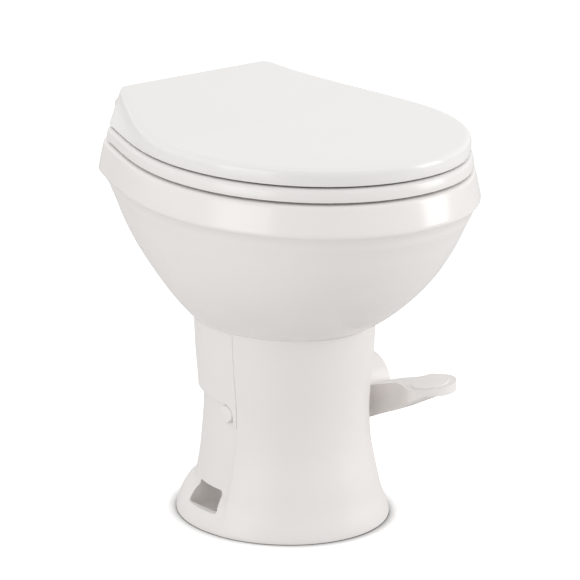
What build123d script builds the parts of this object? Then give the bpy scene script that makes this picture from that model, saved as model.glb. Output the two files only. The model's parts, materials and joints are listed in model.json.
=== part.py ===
from build123d import *
import os
from math import acos, cos, pi, radians, sin, sqrt, tan

# A gravity-flush toilet for a camper: a china bowl on a moulded pedestal, with a foot pedal
# that turns a half-ball valve over the drain. Millimetres. Z is up, the front faces -Y, the
# pedal is on the +X side, and the origin is the drain's axis at floor level.

# Heights of the main levels
seat_top_z = 456.0
seat_thickness = 15.5
lid_gap = 2.2
seat_gap = 2.8
lid_edge_height = 19.0
lid_hump_rise = 24.6
bowl_foot_z = 243.5
band_height = 35.0
band_return_height = 16.0
shaft_z = 127.0

# Plan of the seat and lid, seen from above
half_width = 181.2
front_reach = 215.0
widest_y = -48.5
seat_rear_y = 158.0
seat_rear_half = 130.9
seat_corner = 16.3
side_lean = 20.5
side_fullness_share = 0.37
front_fullness_share = 0.57

# Plan of the bowl's rim where the band is widest, and of the bowl at its foot
band_flare = 7.0
band_top_grow = 4.0
rim_rear_y = 203.0
rim_rear_half = 146.0
rim_corner = 71.0
body_grow = 1.5
body_rear_half = 139.0
body_corner = 40.0
foot_half_width = 103.0
foot_half_length = 118.0
foot_centre_y = -19.0
foot_rear_share = 0.91
foot_corner_share = 0.88
throat_corner_share = 0.98
foot_lean = 45.0
foot_fullness_share = 0.36
round_fullness_share = 0.5523
least_corner_share = 0.25

# Outside of the bowl: how far up each section stands, and how far it has grown from the
# foot's oval (0) to the rim's outline (1)
body_height_shares = (0.0, 0.055, 0.165, 0.29, 0.44, 0.60, 0.77, 0.9, 1.0)
body_size_shares = (0.0, 0.101, 0.275, 0.439, 0.606, 0.744, 0.864, 0.938, 1.0)

# Inside of the bowl: below 0 a section shrinks from the foot's oval to the round throat (-1)
bowl_wall = 13.0
funnel_wall = 10.0
rim_thickness = 28.0
basin_height_shares = (0.0, 0.17, 0.295, 0.415, 0.57, 0.75, 1.0)
basin_size_shares = (-1.0, -0.66, -0.22, 0.35, 0.67, 0.88, 0.90)
funnel_height_shares = (0.0, 0.35, 0.70, 1.0)
funnel_size_shares = (-1.0, -0.87, -0.66, -0.50)
throat_radius = 22.0

# Openings in the seat and in the rim
seat_hole_half = 104.0
seat_hole_front = 148.0
seat_hole_y = -45.0
seat_hole_rear_y = 75.0
rim_hole_half = 118.0
rim_hole_front = 168.0
rim_hole_y = -40.0
rim_hole_rear_y = 92.0
hole_rear_share = 0.72
hole_corner_share = 0.62
hole_lean = 35.0

# Lid and seat details
lid_inset = 0.8
lid_wall = 4.0
lid_edge_round = 5.0
seat_edge_round = 4.0
hump_start_y = -40.0
bumper_radius = 6.0
bumper_boss_radius = 7.0
bumper_gap = 0.3
bumper_height = 4.0
bumper_front_x_share = 0.45
bumper_front_y_share = 0.72

# Seat hinge
hinge_y = 170.0
hinge_rise = 18.0
hinge_x = 79.0
post_width = 16.0
post_depth = 15.0
post_flange_radius = 13.0
post_flange_height = 2.4
knuckle_radius = 8.0
knuckle_width = 12.0
knuckle_gap = 0.5
pin_radius = 4.0
running_gap = 0.05
stud_radius = 4.0
stud_hole_gap = 0.6
deck_thickness = 26.0
spotface_radius = 15.0
washer_radius = 11.0
washer_height = 3.0
wing_nut_radius = 8.0
wing_nut_height = 9.0
wing_span = 26.0
wing_thickness = 3.0
stud_tail = 6.0

# Pedestal: its sections as shares of the bowl's foot, from the floor to the top
pedestal_height_shares = (0.0, 0.039, 0.124, 0.253, 0.380, 0.584, 0.837, 1.0)
pedestal_width_shares = (1.203, 1.178, 1.089, 1.007, 0.950, 0.923, 0.963, 0.978)
pedestal_length_shares = (1.127, 1.118, 1.072, 1.026, 0.967, 0.940, 0.980, 0.996)
column_shares = (1.020, 1.010, 0.975, 0.921, 0.891, 0.866, 0.906, 0.920)
section_count = 16
pedestal_centre_y = -15.0
shell_wall = 5.0
floor_plate = 10.0
top_flange = 8.0
top_hole_half_width = 78.0
top_hole_half_length = 91.0
seam_y = -45.0
ledge_z = 40.0
shroud_low_z = 150.0
shroud_inset = 0.6
shroud_gap = 0.2
seat_clearance = 0.3
bowl_bolt_x = 60.0
bowl_bolt_y = 66.0
bowl_bolt_radius = 3.0
bowl_bolt_depth = 6.0
bolt_head_radius = 6.0
bolt_head_height = 4.0

# Alcoves over the two floor bolts
floor_bolt_spacing = 152.4
floor_slot_radius = 4.5
floor_slot_length = 22.0
alcove_half_width = 25.0
alcove_inner_x = 62.0
alcove_top_z = 44.0
alcove_wall = 3.5

# Shroud screws and their caps
cap_y = -27.0
cap_z = 140.0
high_cap_z = 205.0
cap_radius = 10.6
cap_height = 2.5
cap_proud = 1.0
cap_notch = 3.0
tab_radius = 13.0
screw_radius = 2.0
screw_head_radius = 4.5
screw_head_height = 2.5
screw_length = 10.0
counterbore_gap = 0.5

# Flush valve
ball_radius = 50.0
ball_wall = 4.0
ball_half_angle = 28.5
ball_half_span = 44.0
ear_radius = 23.0
ear_hub_length = 6.0
ear_hub_radius = 13.0
seal_gap = 0.3
seal_radius = 30.0
chamber_radius = 56.0
chamber_wall = 4.0
chamber_top_z = 172.0
flange_radius = 66.0
flange_height = 6.0
top_plate_height = 9.0
gasket_height = 3.0
gasket_inner_radius = 31.0
neck_flange_height = 10.0
drain_radius = 38.1
drain_wall = 3.9
drain_seal_radius = 50.0
drain_seal_gap = 0.2
valve_foot_radius = 57.0
valve_foot_height = 5.0
valve_screw_circle = 53.5
valve_screw_count = 4
valve_screw_length = 14.0
valve_screw_head_share = 0.7
boss_radius = 16.0
boss_end_x = 73.0
left_boss_end_x = 66.0
bush_radius = 12.0
bush_length = 14.0

# Clamp that holds the bowl's neck to the valve
clamp_gap = 0.3
clamp_wall = 3.2
clamp_lip_radius = 61.0
clamp_split = 1.0
clamp_ear_length = 10.5
clamp_ear_thickness = 4.0
clamp_ear_height = 16.0
clamp_bolt_radius = 2.5
clamp_bolt_head_radius = 4.2
clamp_bolt_head_height = 3.5

# Shaft, cam and spring
shaft_radius = 9.0
shaft_inner_x = 40.0
shaft_left_end_x = 74.0
ring_width = 2.4
ring_depth = 1.6
cam_start_x = 74.5
cam_width = 8.0
cam_low_radius = 13.5
cam_rise = 5.0
flush_angle = 56.0
cam_lead_angle = 8.0
cam_steps = 8
cartridge_radius = 22.0
cartridge_wall = 2.0
cartridge_end_x = 77.0
spring_thickness = 0.8
spring_width = 6.5
spring_turns = 3.5
spring_points_per_turn = 10
spring_inner_radius = 9.3
spring_outer_radius = 19.7
spring_gap = 0.3

# Water valve beside the cam
water_valve_radius = 13.0
water_valve_start_y = 36.0
water_valve_end_y = 82.0
collar_width = 8.0
collar_wall = 5.0
web_half_height = 10.0
plunger_radius = 5.0
plunger_nose_radius = 2.0
plunger_gap = 0.5
plunger_end_y = 55.0
valve_bore_end_y = 74.0
valve_spring_radius = 3.6
valve_spring_wire = 0.5
valve_spring_turns = 6
inlet_collar_radius = 12.0
inlet_collar_length = 8.0
inlet_radius = 10.4
inlet_length = 22.0
inlet_bore = 6.0
outlet_y = 66.0
barb_radius = 4.5
barb_length = 14.0
barb_base_radius = 7.0
window_front_y = -13.0
window_rear_y = 64.0
window_inner_x = 48.0
window_half_height = 19.0

# Hose up to the vacuum breaker, and the breaker itself
hose_radius = 6.5
hose_rise_z = 212.0
hose_turn_x = 77.0
hose_turn_y = 130.0
hose_turn_z = 250.0
hose_top_z = 272.0
hose_bend_radii = (40.0, 70.0, 38.0)
hose_clamp_width = 5.0
hose_clamp_thickness = 1.2
hose_clamp_setback = 4.0
breaker_x = 45.0
breaker_y = 182.0
breaker_foot_z = 326.0
breaker_radius = 13.0
breaker_height = 52.0
breaker_cap_radius = 15.0
breaker_cap_height = 13.0
breaker_cap_wall = 2.0
breaker_vent_count = 6
breaker_vent_width = 3.0
breaker_chamber_radius = 10.5
breaker_chamber_low = 18.0
breaker_passage_radius = 4.0
poppet_radius = 9.0
poppet_height = 3.0
poppet_stem_radius = 1.6
poppet_stem_length = 10.0
breaker_outlet_z = 357.0
nozzle_radius = 6.0
nozzle_hole_gap = 0.3
nozzle_bore = 4.0
nozzle_head_radius = 10.0
nozzle_head_length = 11.0
nozzle_slot_height = 3.0
grommet_radius = 11.0
grommet_length = 7.0
nozzle_seat_y = 150.5
nozzle_reach = 16.0
nozzle_spotface_gap = 1.0

# Foot pedal
drum_radius = 36.0
drum_start_x = 94.0
drum_end_x = 150.0
drum_wall = 4.0
drum_boss_radius = 15.0
arm_inner_x = 109.0
arm_outer_x = 150.0
pad_x = 128.0
pad_y = -135.0
pad_radius = 30.5
pad_disc_radius = 23.5
pad_disc_height = 1.4
arm_top_y_shares = (0.25, 0.42, 0.65, 0.88, 1.15)
arm_top_z_shares = (0.20, 0.46, 0.72, 1.0, 1.02)
pad_top_z = 165.5
pad_lip = 9.0
arm_skin = 4.0
arm_rib_count = 3
arm_low_start_y = -18.0
arm_low_start_drop = 35.5
arm_low_end_y = -160.0
arm_low_end_z = 153.0
hub_cap_radius = 14.0
hub_cap_height = 3.0
pedal_screw_radius = 3.0
pedal_screw_head_radius = 6.5
pedal_screw_head_height = 3.0
pedal_screw_length = 26.0
notch_gap = 3.0

# Values worked out from the ones above
overrun = 1.0
seat_bottom_z = seat_top_z - seat_thickness
rim_top_z = seat_bottom_z - seat_gap
hinge_z = seat_top_z + hinge_rise
lid_bottom_z = seat_top_z + lid_gap
lid_top_z = lid_bottom_z + lid_edge_height
lid_rear_y = seat_rear_y - lid_inset
band_low_z = rim_top_z - band_height
body_top_z = band_low_z - band_return_height
top_plate_z = chamber_top_z + top_plate_height
neck_z = top_plate_z + gasket_height
basin_top_z = rim_top_z - rim_thickness
post_side_x = hinge_x + post_width / 2
post_inner_x = hinge_x - post_width / 2
cam_x = cam_start_x + cam_width / 2
breaker_top_z = breaker_foot_z + breaker_height
rear_foot_y = foot_centre_y + foot_half_length

# Plans as (half width, front reach, widest y, rear y, rear half width, corner radius,
# lean of the side, side fullness, front fullness)
seat_plan = (half_width, front_reach, widest_y, seat_rear_y, seat_rear_half, seat_corner,
             side_lean, side_fullness_share, front_fullness_share)
rim_plan = (half_width, front_reach, widest_y, rim_rear_y - band_flare - band_top_grow,
            rim_rear_half - band_flare - band_top_grow, rim_corner,
            side_lean, side_fullness_share, front_fullness_share)
body_plan = (half_width, front_reach, widest_y, seat_rear_y, body_rear_half, body_corner,
             side_lean, side_fullness_share, front_fullness_share)
foot_plan = (foot_half_width, foot_half_length, foot_centre_y, rear_foot_y,
             foot_half_width * foot_rear_share, foot_half_width * foot_corner_share, foot_lean,
             foot_fullness_share, round_fullness_share)
throat_plan = (throat_radius, throat_radius, 0, throat_radius, throat_radius,
               throat_radius * throat_corner_share, foot_lean, foot_fullness_share, round_fullness_share)
seat_hole_plan = (seat_hole_half, seat_hole_front, seat_hole_y, seat_hole_rear_y,
                  seat_hole_half * hole_rear_share, seat_hole_half * hole_corner_share,
                  hole_lean, side_fullness_share, round_fullness_share)
rim_hole_plan = (rim_hole_half, rim_hole_front, rim_hole_y, rim_hole_rear_y,
                 rim_hole_half * hole_rear_share, rim_hole_half * hole_corner_share,
                 hole_lean, side_fullness_share, round_fullness_share)


def block(x0, x1, y0, y1, z0, z1):
    """A box between two corners, which may be given in either order."""
    box = Box(abs(x1 - x0), abs(y1 - y0), abs(z1 - z0), align=(Align.MIN, Align.MIN, Align.MIN))
    return Pos(min(x0, x1), min(y0, y1), min(z0, z1)) * box


def rod_z(radius, low, high, x=0, y=0):
    rod = Cylinder(radius, high - low, align=(Align.CENTER, Align.CENTER, Align.MIN))
    return Pos(x, y, low) * rod


def rod_x(radius, start, end, y=0, z=0):
    """A cylinder along X between two places, which may be given in either order."""
    rod = Cylinder(radius, abs(end - start), align=(Align.CENTER, Align.CENTER, Align.MIN))
    return Pos(min(start, end), y, z) * Rot(0, 90, 0) * rod


def rod_y(radius, start, end, x=0, z=0):
    rod = Cylinder(radius, end - start, align=(Align.CENTER, Align.CENTER, Align.MIN))
    return Pos(x, start, z) * Rot(-90, 0, 0) * rod


def side_profile(points, start, end):
    """A prism along X whose section is a closed outline of (y, z) points."""
    corners = [Vector(start, y, z) for y, z in points]
    face = Face(Wire.make_polygon(corners, close=True))
    return Solid.extrude(face, Vector(end - start, 0, 0))


def outline(plan, grow=0):
    """Control points of the right half of a plan: front, side and rear corner curves."""
    wide, front, middle, rear, rear_half, corner, lean, side_share, front_share = plan
    wide, front, rear, rear_half = wide + grow, front + grow, rear + grow, rear_half + grow
    corner = max(corner + grow, corner * least_corner_share)
    across, along = cos(radians(lean)), sin(radians(lean))
    centre_x, centre_y = rear_half - corner, rear - corner
    shoulder_x, shoulder_y = centre_x + corner * across, centre_y + corner * along
    handle = side_share * (shoulder_y - middle)
    bend = 4 / 3 * tan(radians((90 - lean) / 4)) * corner
    return [
        (0, middle - front), (front_share * wide, middle - front),
        (wide, middle - front_share * front), (wide, middle),
        (wide, middle + handle), (shoulder_x + handle * along, shoulder_y - handle * across),
        (shoulder_x, shoulder_y), (shoulder_x - bend * along, shoulder_y + bend * across),
        (centre_x + bend, rear), (centre_x, rear),
    ]


def smooth_shares(size_shares, height_shares, height):
    """Evenly spaced (size share, height) pairs on a smooth curve through the given shares."""
    spread = half_width - foot_half_width
    curve = Edge.make_spline([Vector(s * spread, 0, h * height)
                              for s, h in zip(size_shares, height_shares)])
    places = [curve @ (n / section_count) for n in range(section_count + 1)]
    return [(place.X / spread, place.Z) for place in places]


def blend(first, second, share):
    """A plan between two others: share 0 gives the first, 1 the second."""
    return [(a + (c - a) * share, b + (d - b) * share) for (a, b), (c, d) in zip(first, second)]


def ring_wire(points, z):
    """The closed outline of a plan's control points at a height."""
    right = [Vector(x, y, z) for x, y in points]
    left = [Vector(-x, y, z) for x, y in points]
    edges = [Edge.make_bezier(*right[i:i + 4]) for i in (0, 3, 6)]
    edges.append(Edge.make_line(right[9], left[9]))
    edges += [Edge.make_bezier(*left[i:i + 4][::-1]) for i in (6, 3, 0)]
    return Wire(edges)


def slab(points, low, high):
    return Solid.extrude(Face(ring_wire(points, low)), Vector(0, 0, high - low))


def skin(sections, ruled=False):
    """A solid through (outline, height) sections."""
    return Solid.make_loft([ring_wire(points, z) for points, z in sections], ruled)


def bowl_outline(share, grow=0):
    """The bowl's section: the throat at -1, the foot's oval at 0, the rim's outline at 1."""
    foot = outline(foot_plan, grow)
    if share < 0:
        return blend(foot, outline(throat_plan, grow), -share)
    return blend(foot, outline(body_plan, grow + body_grow), share)


def lid_profile(drop, rear_y):
    """Side view of the lid's top, lowered by a wall: level in front, a parabola to the rear."""
    front_y = widest_y - front_reach - overrun
    top = lid_top_z - drop
    rise = lid_hump_rise * ((rear_y - hump_start_y) / (lid_rear_y - hump_start_y)) ** 2
    return front_y, top, rise


def lid_crown(drop, low, rear_y):
    """The space under the lid's top surface, as a prism across the whole width."""
    front_y, top, rise = lid_profile(drop, rear_y)
    x = -half_width
    bend = Edge.make_bezier(Vector(x, hump_start_y, top),
                            Vector(x, (hump_start_y + rear_y) / 2, top),
                            Vector(x, rear_y, top + rise))
    others = [
        Edge.make_line(Vector(x, rear_y, top + rise), Vector(x, rear_y, low)),
        Edge.make_line(Vector(x, rear_y, low), Vector(x, front_y, low)),
        Edge.make_line(Vector(x, front_y, low), Vector(x, front_y, top)),
        Edge.make_line(Vector(x, front_y, top), Vector(x, hump_start_y, top)),
    ]
    return Solid.extrude(Face(Wire([bend] + others)), Vector(2 * half_width, 0, 0))


def bumper_spots():
    side_x = (half_width + seat_hole_half) / 2
    front_x = bumper_front_x_share * half_width
    front_y = widest_y - bumper_front_y_share * front_reach
    return [(s * x, y) for s in (-1, 1) for x, y in ((side_x, widest_y), (front_x, front_y))]


def make_lid():
    tall = lid_top_z + lid_hump_rise + overrun
    outer = slab(outline(seat_plan, -lid_inset), lid_bottom_z, tall)
    outer = outer & lid_crown(0, lid_bottom_z - overrun, lid_rear_y + overrun)
    edges = outer.edges().filter_by(lambda e: e.bounding_box().min.Z > lid_bottom_z + overrun)
    rim = [e for e in edges if e.bounding_box().size.Z < lid_edge_height or e.length > lid_edge_height * 2]
    outer = fillet(rim, lid_edge_round)
    hollow = slab(outline(seat_plan, -lid_inset - lid_wall), lid_bottom_z - overrun, tall)
    hollow = hollow & lid_crown(lid_wall, lid_bottom_z - 2 * overrun, lid_rear_y)
    lid = outer - hollow
    for x, y in bumper_spots():
        low = seat_top_z + bumper_gap + bumper_height
        lid += rod_z(bumper_boss_radius, low, lid_top_z - lid_wall / 2, x, y)
    for side in (-1, 1):
        outer = side * (post_inner_x - knuckle_gap)
        inner = outer - side * knuckle_width
        arm = block(inner, outer, lid_rear_y - lid_wall / 2, hinge_y,
                    hinge_z - knuckle_radius, hinge_z + knuckle_radius)
        lid += arm + rod_x(knuckle_radius, inner, outer, hinge_y, hinge_z)
        lid -= rod_x(pin_radius + running_gap, inner - side * overrun, outer + side * overrun,
                     hinge_y, hinge_z)
    return lid


def make_seat():
    ring = slab(outline(seat_plan, band_top_grow / 2), seat_bottom_z, seat_top_z)
    ring -= slab(outline(seat_hole_plan), seat_bottom_z - overrun, seat_top_z + overrun)
    flat = [e for e in ring.edges() if e.bounding_box().size.Z < overrun]
    upper = [e for e in flat if e.center().Z > (seat_bottom_z + seat_top_z) / 2]
    ring = fillet(upper, seat_edge_round)
    for side in (-1, 1):
        inner = side * (post_side_x + knuckle_gap)
        outer = inner + side * knuckle_width
        root_y = seat_rear_y - seat_corner
        points = [
            (root_y, seat_bottom_z), (root_y, seat_top_z - seat_edge_round),
            (seat_rear_y + band_top_grow / 2, seat_top_z - seat_edge_round),
            (hinge_y - knuckle_radius, hinge_z),
            (hinge_y + knuckle_radius * cos(pi / 4), hinge_z - knuckle_radius * sin(pi / 4)),
            (seat_rear_y + band_top_grow / 2, seat_bottom_z),
        ]
        ring += side_profile(points, inner, outer)
        ring += rod_x(knuckle_radius, inner, outer, hinge_y, hinge_z)
        ring -= rod_x(pin_radius + running_gap, inner - side * overrun, outer + side * overrun,
                      hinge_y, hinge_z)
    return ring


def make_lid_bumpers():
    low = seat_top_z + bumper_gap
    return [rod_z(bumper_radius, low, low + bumper_height, x, y) for x, y in bumper_spots()]


def make_seat_bumpers():
    low = rim_top_z + bumper_gap
    return [rod_z(bumper_radius, low, seat_bottom_z, x, y) for x, y in bumper_spots()]


def make_hinge_pins():
    length = knuckle_gap + knuckle_width + overrun
    pins = []
    for side in (-1, 1):
        centre = side * hinge_x
        pins.append(rod_x(pin_radius, centre - post_width / 2 - length,
                          centre + post_width / 2 + length, hinge_y, hinge_z))
    return pins


def make_hinge_posts():
    posts = []
    for side in (-1, 1):
        start = side * hinge_x - post_width / 2
        post = block(start, start + post_width, hinge_y - post_depth / 2, hinge_y + post_depth / 2,
                     rim_top_z, hinge_z)
        post += rod_x(post_depth / 2, start, start + post_width, hinge_y, hinge_z)
        post += rod_z(post_flange_radius, rim_top_z, rim_top_z + post_flange_height,
                      side * hinge_x, hinge_y)
        tail = rim_top_z - deck_thickness - washer_height - wing_nut_height - stud_tail
        post += rod_z(stud_radius, tail, rim_top_z, side * hinge_x, hinge_y)
        post -= rod_x(pin_radius, start - overrun, start + post_width + overrun, hinge_y, hinge_z)
        posts.append(post)
    return posts


def make_hinge_washers():
    top = rim_top_z - deck_thickness
    washers = []
    for side in (-1, 1):
        ring = rod_z(washer_radius, top - washer_height, top, side * hinge_x, hinge_y)
        ring -= rod_z(stud_radius, top - 2 * washer_height, top + overrun, side * hinge_x, hinge_y)
        washers.append(ring)
    return washers


def make_hinge_wing_nuts():
    top = rim_top_z - deck_thickness - washer_height
    nuts = []
    for side in (-1, 1):
        nut = rod_z(wing_nut_radius, top - wing_nut_height, top, side * hinge_x, hinge_y)
        nut += block(side * hinge_x - wing_span / 2, side * hinge_x + wing_span / 2,
                     hinge_y - wing_thickness / 2, hinge_y + wing_thickness / 2,
                     top - wing_nut_height, top - wing_nut_height / 3)
        nut -= rod_z(stud_radius, top - 2 * wing_nut_height, top + overrun, side * hinge_x, hinge_y)
        nuts.append(nut)
    return nuts


def bowl_bolt_spots():
    return [(sx * bowl_bolt_x, foot_centre_y + sy * bowl_bolt_y) for sx in (-1, 1) for sy in (-1, 1)]


def make_bowl():
    height = body_top_z - bowl_foot_z
    body = skin([(bowl_outline(s), bowl_foot_z + rise)
                 for s, rise in smooth_shares(body_size_shares, body_height_shares, height)])
    top = outline(rim_plan, band_top_grow)
    low = outline(rim_plan, band_top_grow + band_flare)
    band = skin([(low, band_low_z), (top, rim_top_z)], ruled=True)
    turn = skin([(bowl_outline(1), body_top_z), (low, band_low_z)], ruled=True)
    fall = bowl_foot_z - neck_z
    funnel = skin([(bowl_outline(s, funnel_wall), neck_z + h * fall)
                   for h, s in zip(funnel_height_shares, funnel_size_shares)])
    neck = rod_z(flange_radius, neck_z, neck_z + neck_flange_height)
    bowl = body + turn + band + funnel + neck
    depth = basin_top_z - neck_z
    basin = skin([(bowl_outline(s, -bowl_wall * min(1, 1 + s) if s < 0 else -bowl_wall), neck_z + rise)
                  for s, rise in smooth_shares(basin_size_shares, basin_height_shares, depth)])
    bowl -= basin
    bowl -= slab(outline(rim_hole_plan), basin_top_z - overrun, rim_top_z + overrun)
    bowl -= rod_z(throat_radius, neck_z - overrun, neck_z + neck_flange_height)
    for x, y in bowl_bolt_spots():
        bowl -= rod_z(bowl_bolt_radius, bowl_foot_z - top_flange, bowl_foot_z + bowl_bolt_depth, x, y)
    for side in (-1, 1):
        seat_level = rim_top_z - deck_thickness
        bowl -= rod_z(spotface_radius, body_top_z - overrun, seat_level, side * hinge_x, hinge_y)
        bowl -= rod_z(stud_radius + stud_hole_gap, seat_level - overrun, rim_top_z + overrun,
                      side * hinge_x, hinge_y)
    bowl -= rod_y(nozzle_radius + nozzle_hole_gap, rear_foot_y, breaker_y, breaker_x, breaker_outlet_z)
    bowl -= rod_y(grommet_radius + nozzle_spotface_gap, nozzle_seat_y, breaker_y,
                  breaker_x, breaker_outlet_z)
    return bowl


def centre_at(z):
    """Where the pedestal's middle lies at a height: it leans a little forward going up."""
    return pedestal_centre_y + (foot_centre_y - pedestal_centre_y) * z / bowl_foot_z


def pedestal_places(width_shares, length_shares):
    """Half width, half length and height of evenly spaced sections on a smooth curve."""
    shares = zip(width_shares, length_shares, pedestal_height_shares)
    curve = Edge.make_spline([Vector(w * foot_half_width, l * foot_half_length, h * bowl_foot_z)
                              for w, l, h in shares])
    return [curve @ (n / section_count) for n in range(section_count + 1)]


def pedestal_skin(width_shares, length_shares, grow=0):
    """A waisted oval column from the floor to the bowl's foot."""
    sections = []
    for place in pedestal_places(width_shares, length_shares):
        oval = Ellipse(place.X + grow, place.Y + grow)
        sections.append(Pos(0, centre_at(place.Z), place.Z) * oval)
    return loft(sections)


def shell_outside(grow=0):
    return pedestal_skin(pedestal_width_shares, pedestal_length_shares, grow)


def column_outside(grow=0):
    return pedestal_skin(column_shares, column_shares, grow)


def behind(y, low, high):
    """A large block behind a plane across the pedestal."""
    reach = foot_half_length * 2
    return block(-reach, reach, y, reach, low, high)


def in_front(y, low, high):
    reach = foot_half_length * 2
    return block(-reach, reach, -reach, y, low, high)


def cap_spots():
    """Side, y and z of each shroud screw: low on the left, above the pedal on the right."""
    return [(-1, cap_y, cap_z), (1, cap_y, high_cap_z)]


def shell_half_width(y, z):
    """Half width of the pedestal's outside at a place, from its sections."""
    places = pedestal_places(pedestal_width_shares, pedestal_length_shares)
    for low, high in zip(places, places[1:]):
        if low.Z <= z <= high.Z:
            share = (z - low.Z) / (high.Z - low.Z)
            wide = low.X + (high.X - low.X) * share
            long = low.Y + (high.Y - low.Y) * share
    return wide * sqrt(1 - ((y - centre_at(z)) / long) ** 2)


def make_base():
    outside = shell_outside()
    recess = (outside - column_outside()) & behind(seam_y, ledge_z, bowl_foot_z + overrun)
    base = outside - recess
    low, high = floor_plate, bowl_foot_z - top_flange
    inside = column_outside(-shell_wall) & behind(seam_y - shell_wall, low, high)
    inside += shell_outside(-shell_wall) & in_front(seam_y - shell_wall, low, high)
    base -= inside
    for side in (-1, 1):
        liner = block(side * (alcove_inner_x - alcove_wall), side * foot_half_width,
                      -alcove_half_width - alcove_wall, alcove_half_width + alcove_wall,
                      overrun, alcove_top_z + alcove_wall)
        base += liner & column_outside()
        base -= block(side * alcove_inner_x, side * foot_half_width * 2,
                      -alcove_half_width, alcove_half_width, floor_plate, alcove_top_z)
    top_hole = Pos(0, foot_centre_y, high - overrun) * Ellipse(top_hole_half_width, top_hole_half_length)
    base -= Solid.extrude(top_hole.face(), Vector(0, 0, top_flange + 2 * overrun))
    base -= rod_z(drain_seal_radius, -overrun, floor_plate + overrun)
    for x, y in bowl_bolt_spots():
        base -= rod_z(bowl_bolt_radius, high - overrun, bowl_foot_z + overrun, x, y)
    slot_x = floor_bolt_spacing / 2
    slot_half = floor_slot_length / 2 - floor_slot_radius
    for side in (-1, 1):
        for end in (-1, 1):
            base -= rod_z(floor_slot_radius, -overrun, floor_plate + overrun,
                          side * slot_x + end * slot_half, 0)
        base -= block(side * slot_x - slot_half, side * slot_x + slot_half,
                      -floor_slot_radius, floor_slot_radius, -overrun, floor_plate + overrun)
    base -= block(window_inner_x, foot_half_width, window_front_y, window_rear_y,
                  shaft_z - window_half_height, shaft_z + window_half_height)
    for x, y in valve_screw_spots():
        base -= rod_z(screw_radius, overrun, floor_plate + overrun, x, y)
    for side, y, z in cap_spots():
        reach = shell_half_width(y, z) - screw_length - cap_height
        base -= rod_x(screw_radius, side * reach, side * foot_half_width, y, z)
    return base


def make_rear_shroud():
    band = shell_outside(-shroud_inset) - column_outside(shroud_gap)
    reach = behind(seam_y + shroud_inset, shroud_low_z, bowl_foot_z - seat_clearance)
    for side, y, z in cap_spots():
        reach += rod_x(tab_radius, 0, side * foot_half_width, y, z)
    shroud = band & reach
    shroud -= in_front(seam_y + shroud_inset, 0, bowl_foot_z)
    for side, y, z in cap_spots():
        seat = shell_half_width(y, z) - shroud_inset + cap_proud - cap_height
        head = seat - screw_head_height - counterbore_gap
        far = side * foot_half_width
        shroud -= rod_x(cap_radius + shroud_gap, side * seat, far, y, z)
        shroud -= rod_x(screw_head_radius + counterbore_gap, side * head, far, y, z)
        shroud -= rod_x(screw_radius, 0, far, y, z)
    shroud -= rod_x(drum_radius + notch_gap, 0, foot_half_width, 0, shaft_z)
    return shroud


def make_screw_caps():
    caps = []
    for side, y, z in cap_spots():
        face = shell_half_width(y, z) - shroud_inset
        low = face + cap_proud - cap_height
        high = face + cap_proud
        cap = rod_x(cap_radius, side * low, side * high, y, z)
        notch_y = y - cap_radius * cos(pi / 4)
        notch_z = z - cap_radius * sin(pi / 4)
        cap -= block(side * (low - overrun), side * (high + overrun),
                     notch_y - cap_notch / 2, notch_y + cap_notch / 2,
                     notch_z - cap_notch / 2, notch_z + cap_notch / 2)
        caps.append(cap)
    return caps


def make_shroud_screws():
    screws = []
    for side, y, z in cap_spots():
        face = shell_half_width(y, z) - shroud_inset
        head_out = face + cap_proud - cap_height - seat_clearance
        head_in = head_out - screw_head_height
        tip = face - screw_length
        screw = rod_x(screw_head_radius, side * head_in, side * head_out, y, z)
        screw += rod_x(screw_radius, side * tip, side * head_out, y, z)
        screws.append(screw)
    return screws


def make_bowl_bolts():
    bolts = []
    under = bowl_foot_z - top_flange
    for x, y in bowl_bolt_spots():
        bolt = rod_z(bowl_bolt_radius, under, bowl_foot_z + bowl_bolt_depth, x, y)
        bolt += rod_z(bolt_head_radius, under - bolt_head_height, under, x, y)
        bolts.append(bolt)
    return bolts


def bowl_arc(radius, neck):
    """Quarter of a sphere's section about the shaft, from a narrower neck up to its equator."""
    reach = acos(neck / radius)
    low = (neck, 0, shaft_z - radius * sin(reach))
    middle = (radius * cos(reach / 2), 0, shaft_z - radius * sin(reach / 2))
    return low, Edge.make_three_point_arc(low, middle, (radius, 0, shaft_z))


def chamber_profile():
    """Half section of the valve body, revolved about the drain's axis."""
    outer = chamber_radius + chamber_wall
    tube = drain_radius + drain_wall
    foot_top = floor_plate + valve_foot_height
    outer_low, outer_arc = bowl_arc(outer, tube)
    inner_low, inner_arc = bowl_arc(chamber_radius, drain_radius)
    outside = [
        (drain_radius, 0, 0), (tube, 0, 0), (tube, 0, floor_plate), (valve_foot_radius, 0, floor_plate),
        (valve_foot_radius, 0, foot_top), (tube, 0, foot_top), outer_low,
    ]
    upper = [
        (outer, 0, shaft_z), (outer, 0, chamber_top_z - flange_height),
        (flange_radius, 0, chamber_top_z - flange_height), (flange_radius, 0, chamber_top_z),
        (chamber_radius, 0, chamber_top_z), (chamber_radius, 0, shaft_z),
    ]
    edges = [Edge.make_line(a, b) for a, b in zip(outside, outside[1:])]
    edges += [Edge.make_line(a, b) for a, b in zip(upper, upper[1:])]
    edges += [outer_arc, inner_arc, Edge.make_line(inner_low, outside[0])]
    return Face(Wire(edges))


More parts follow.
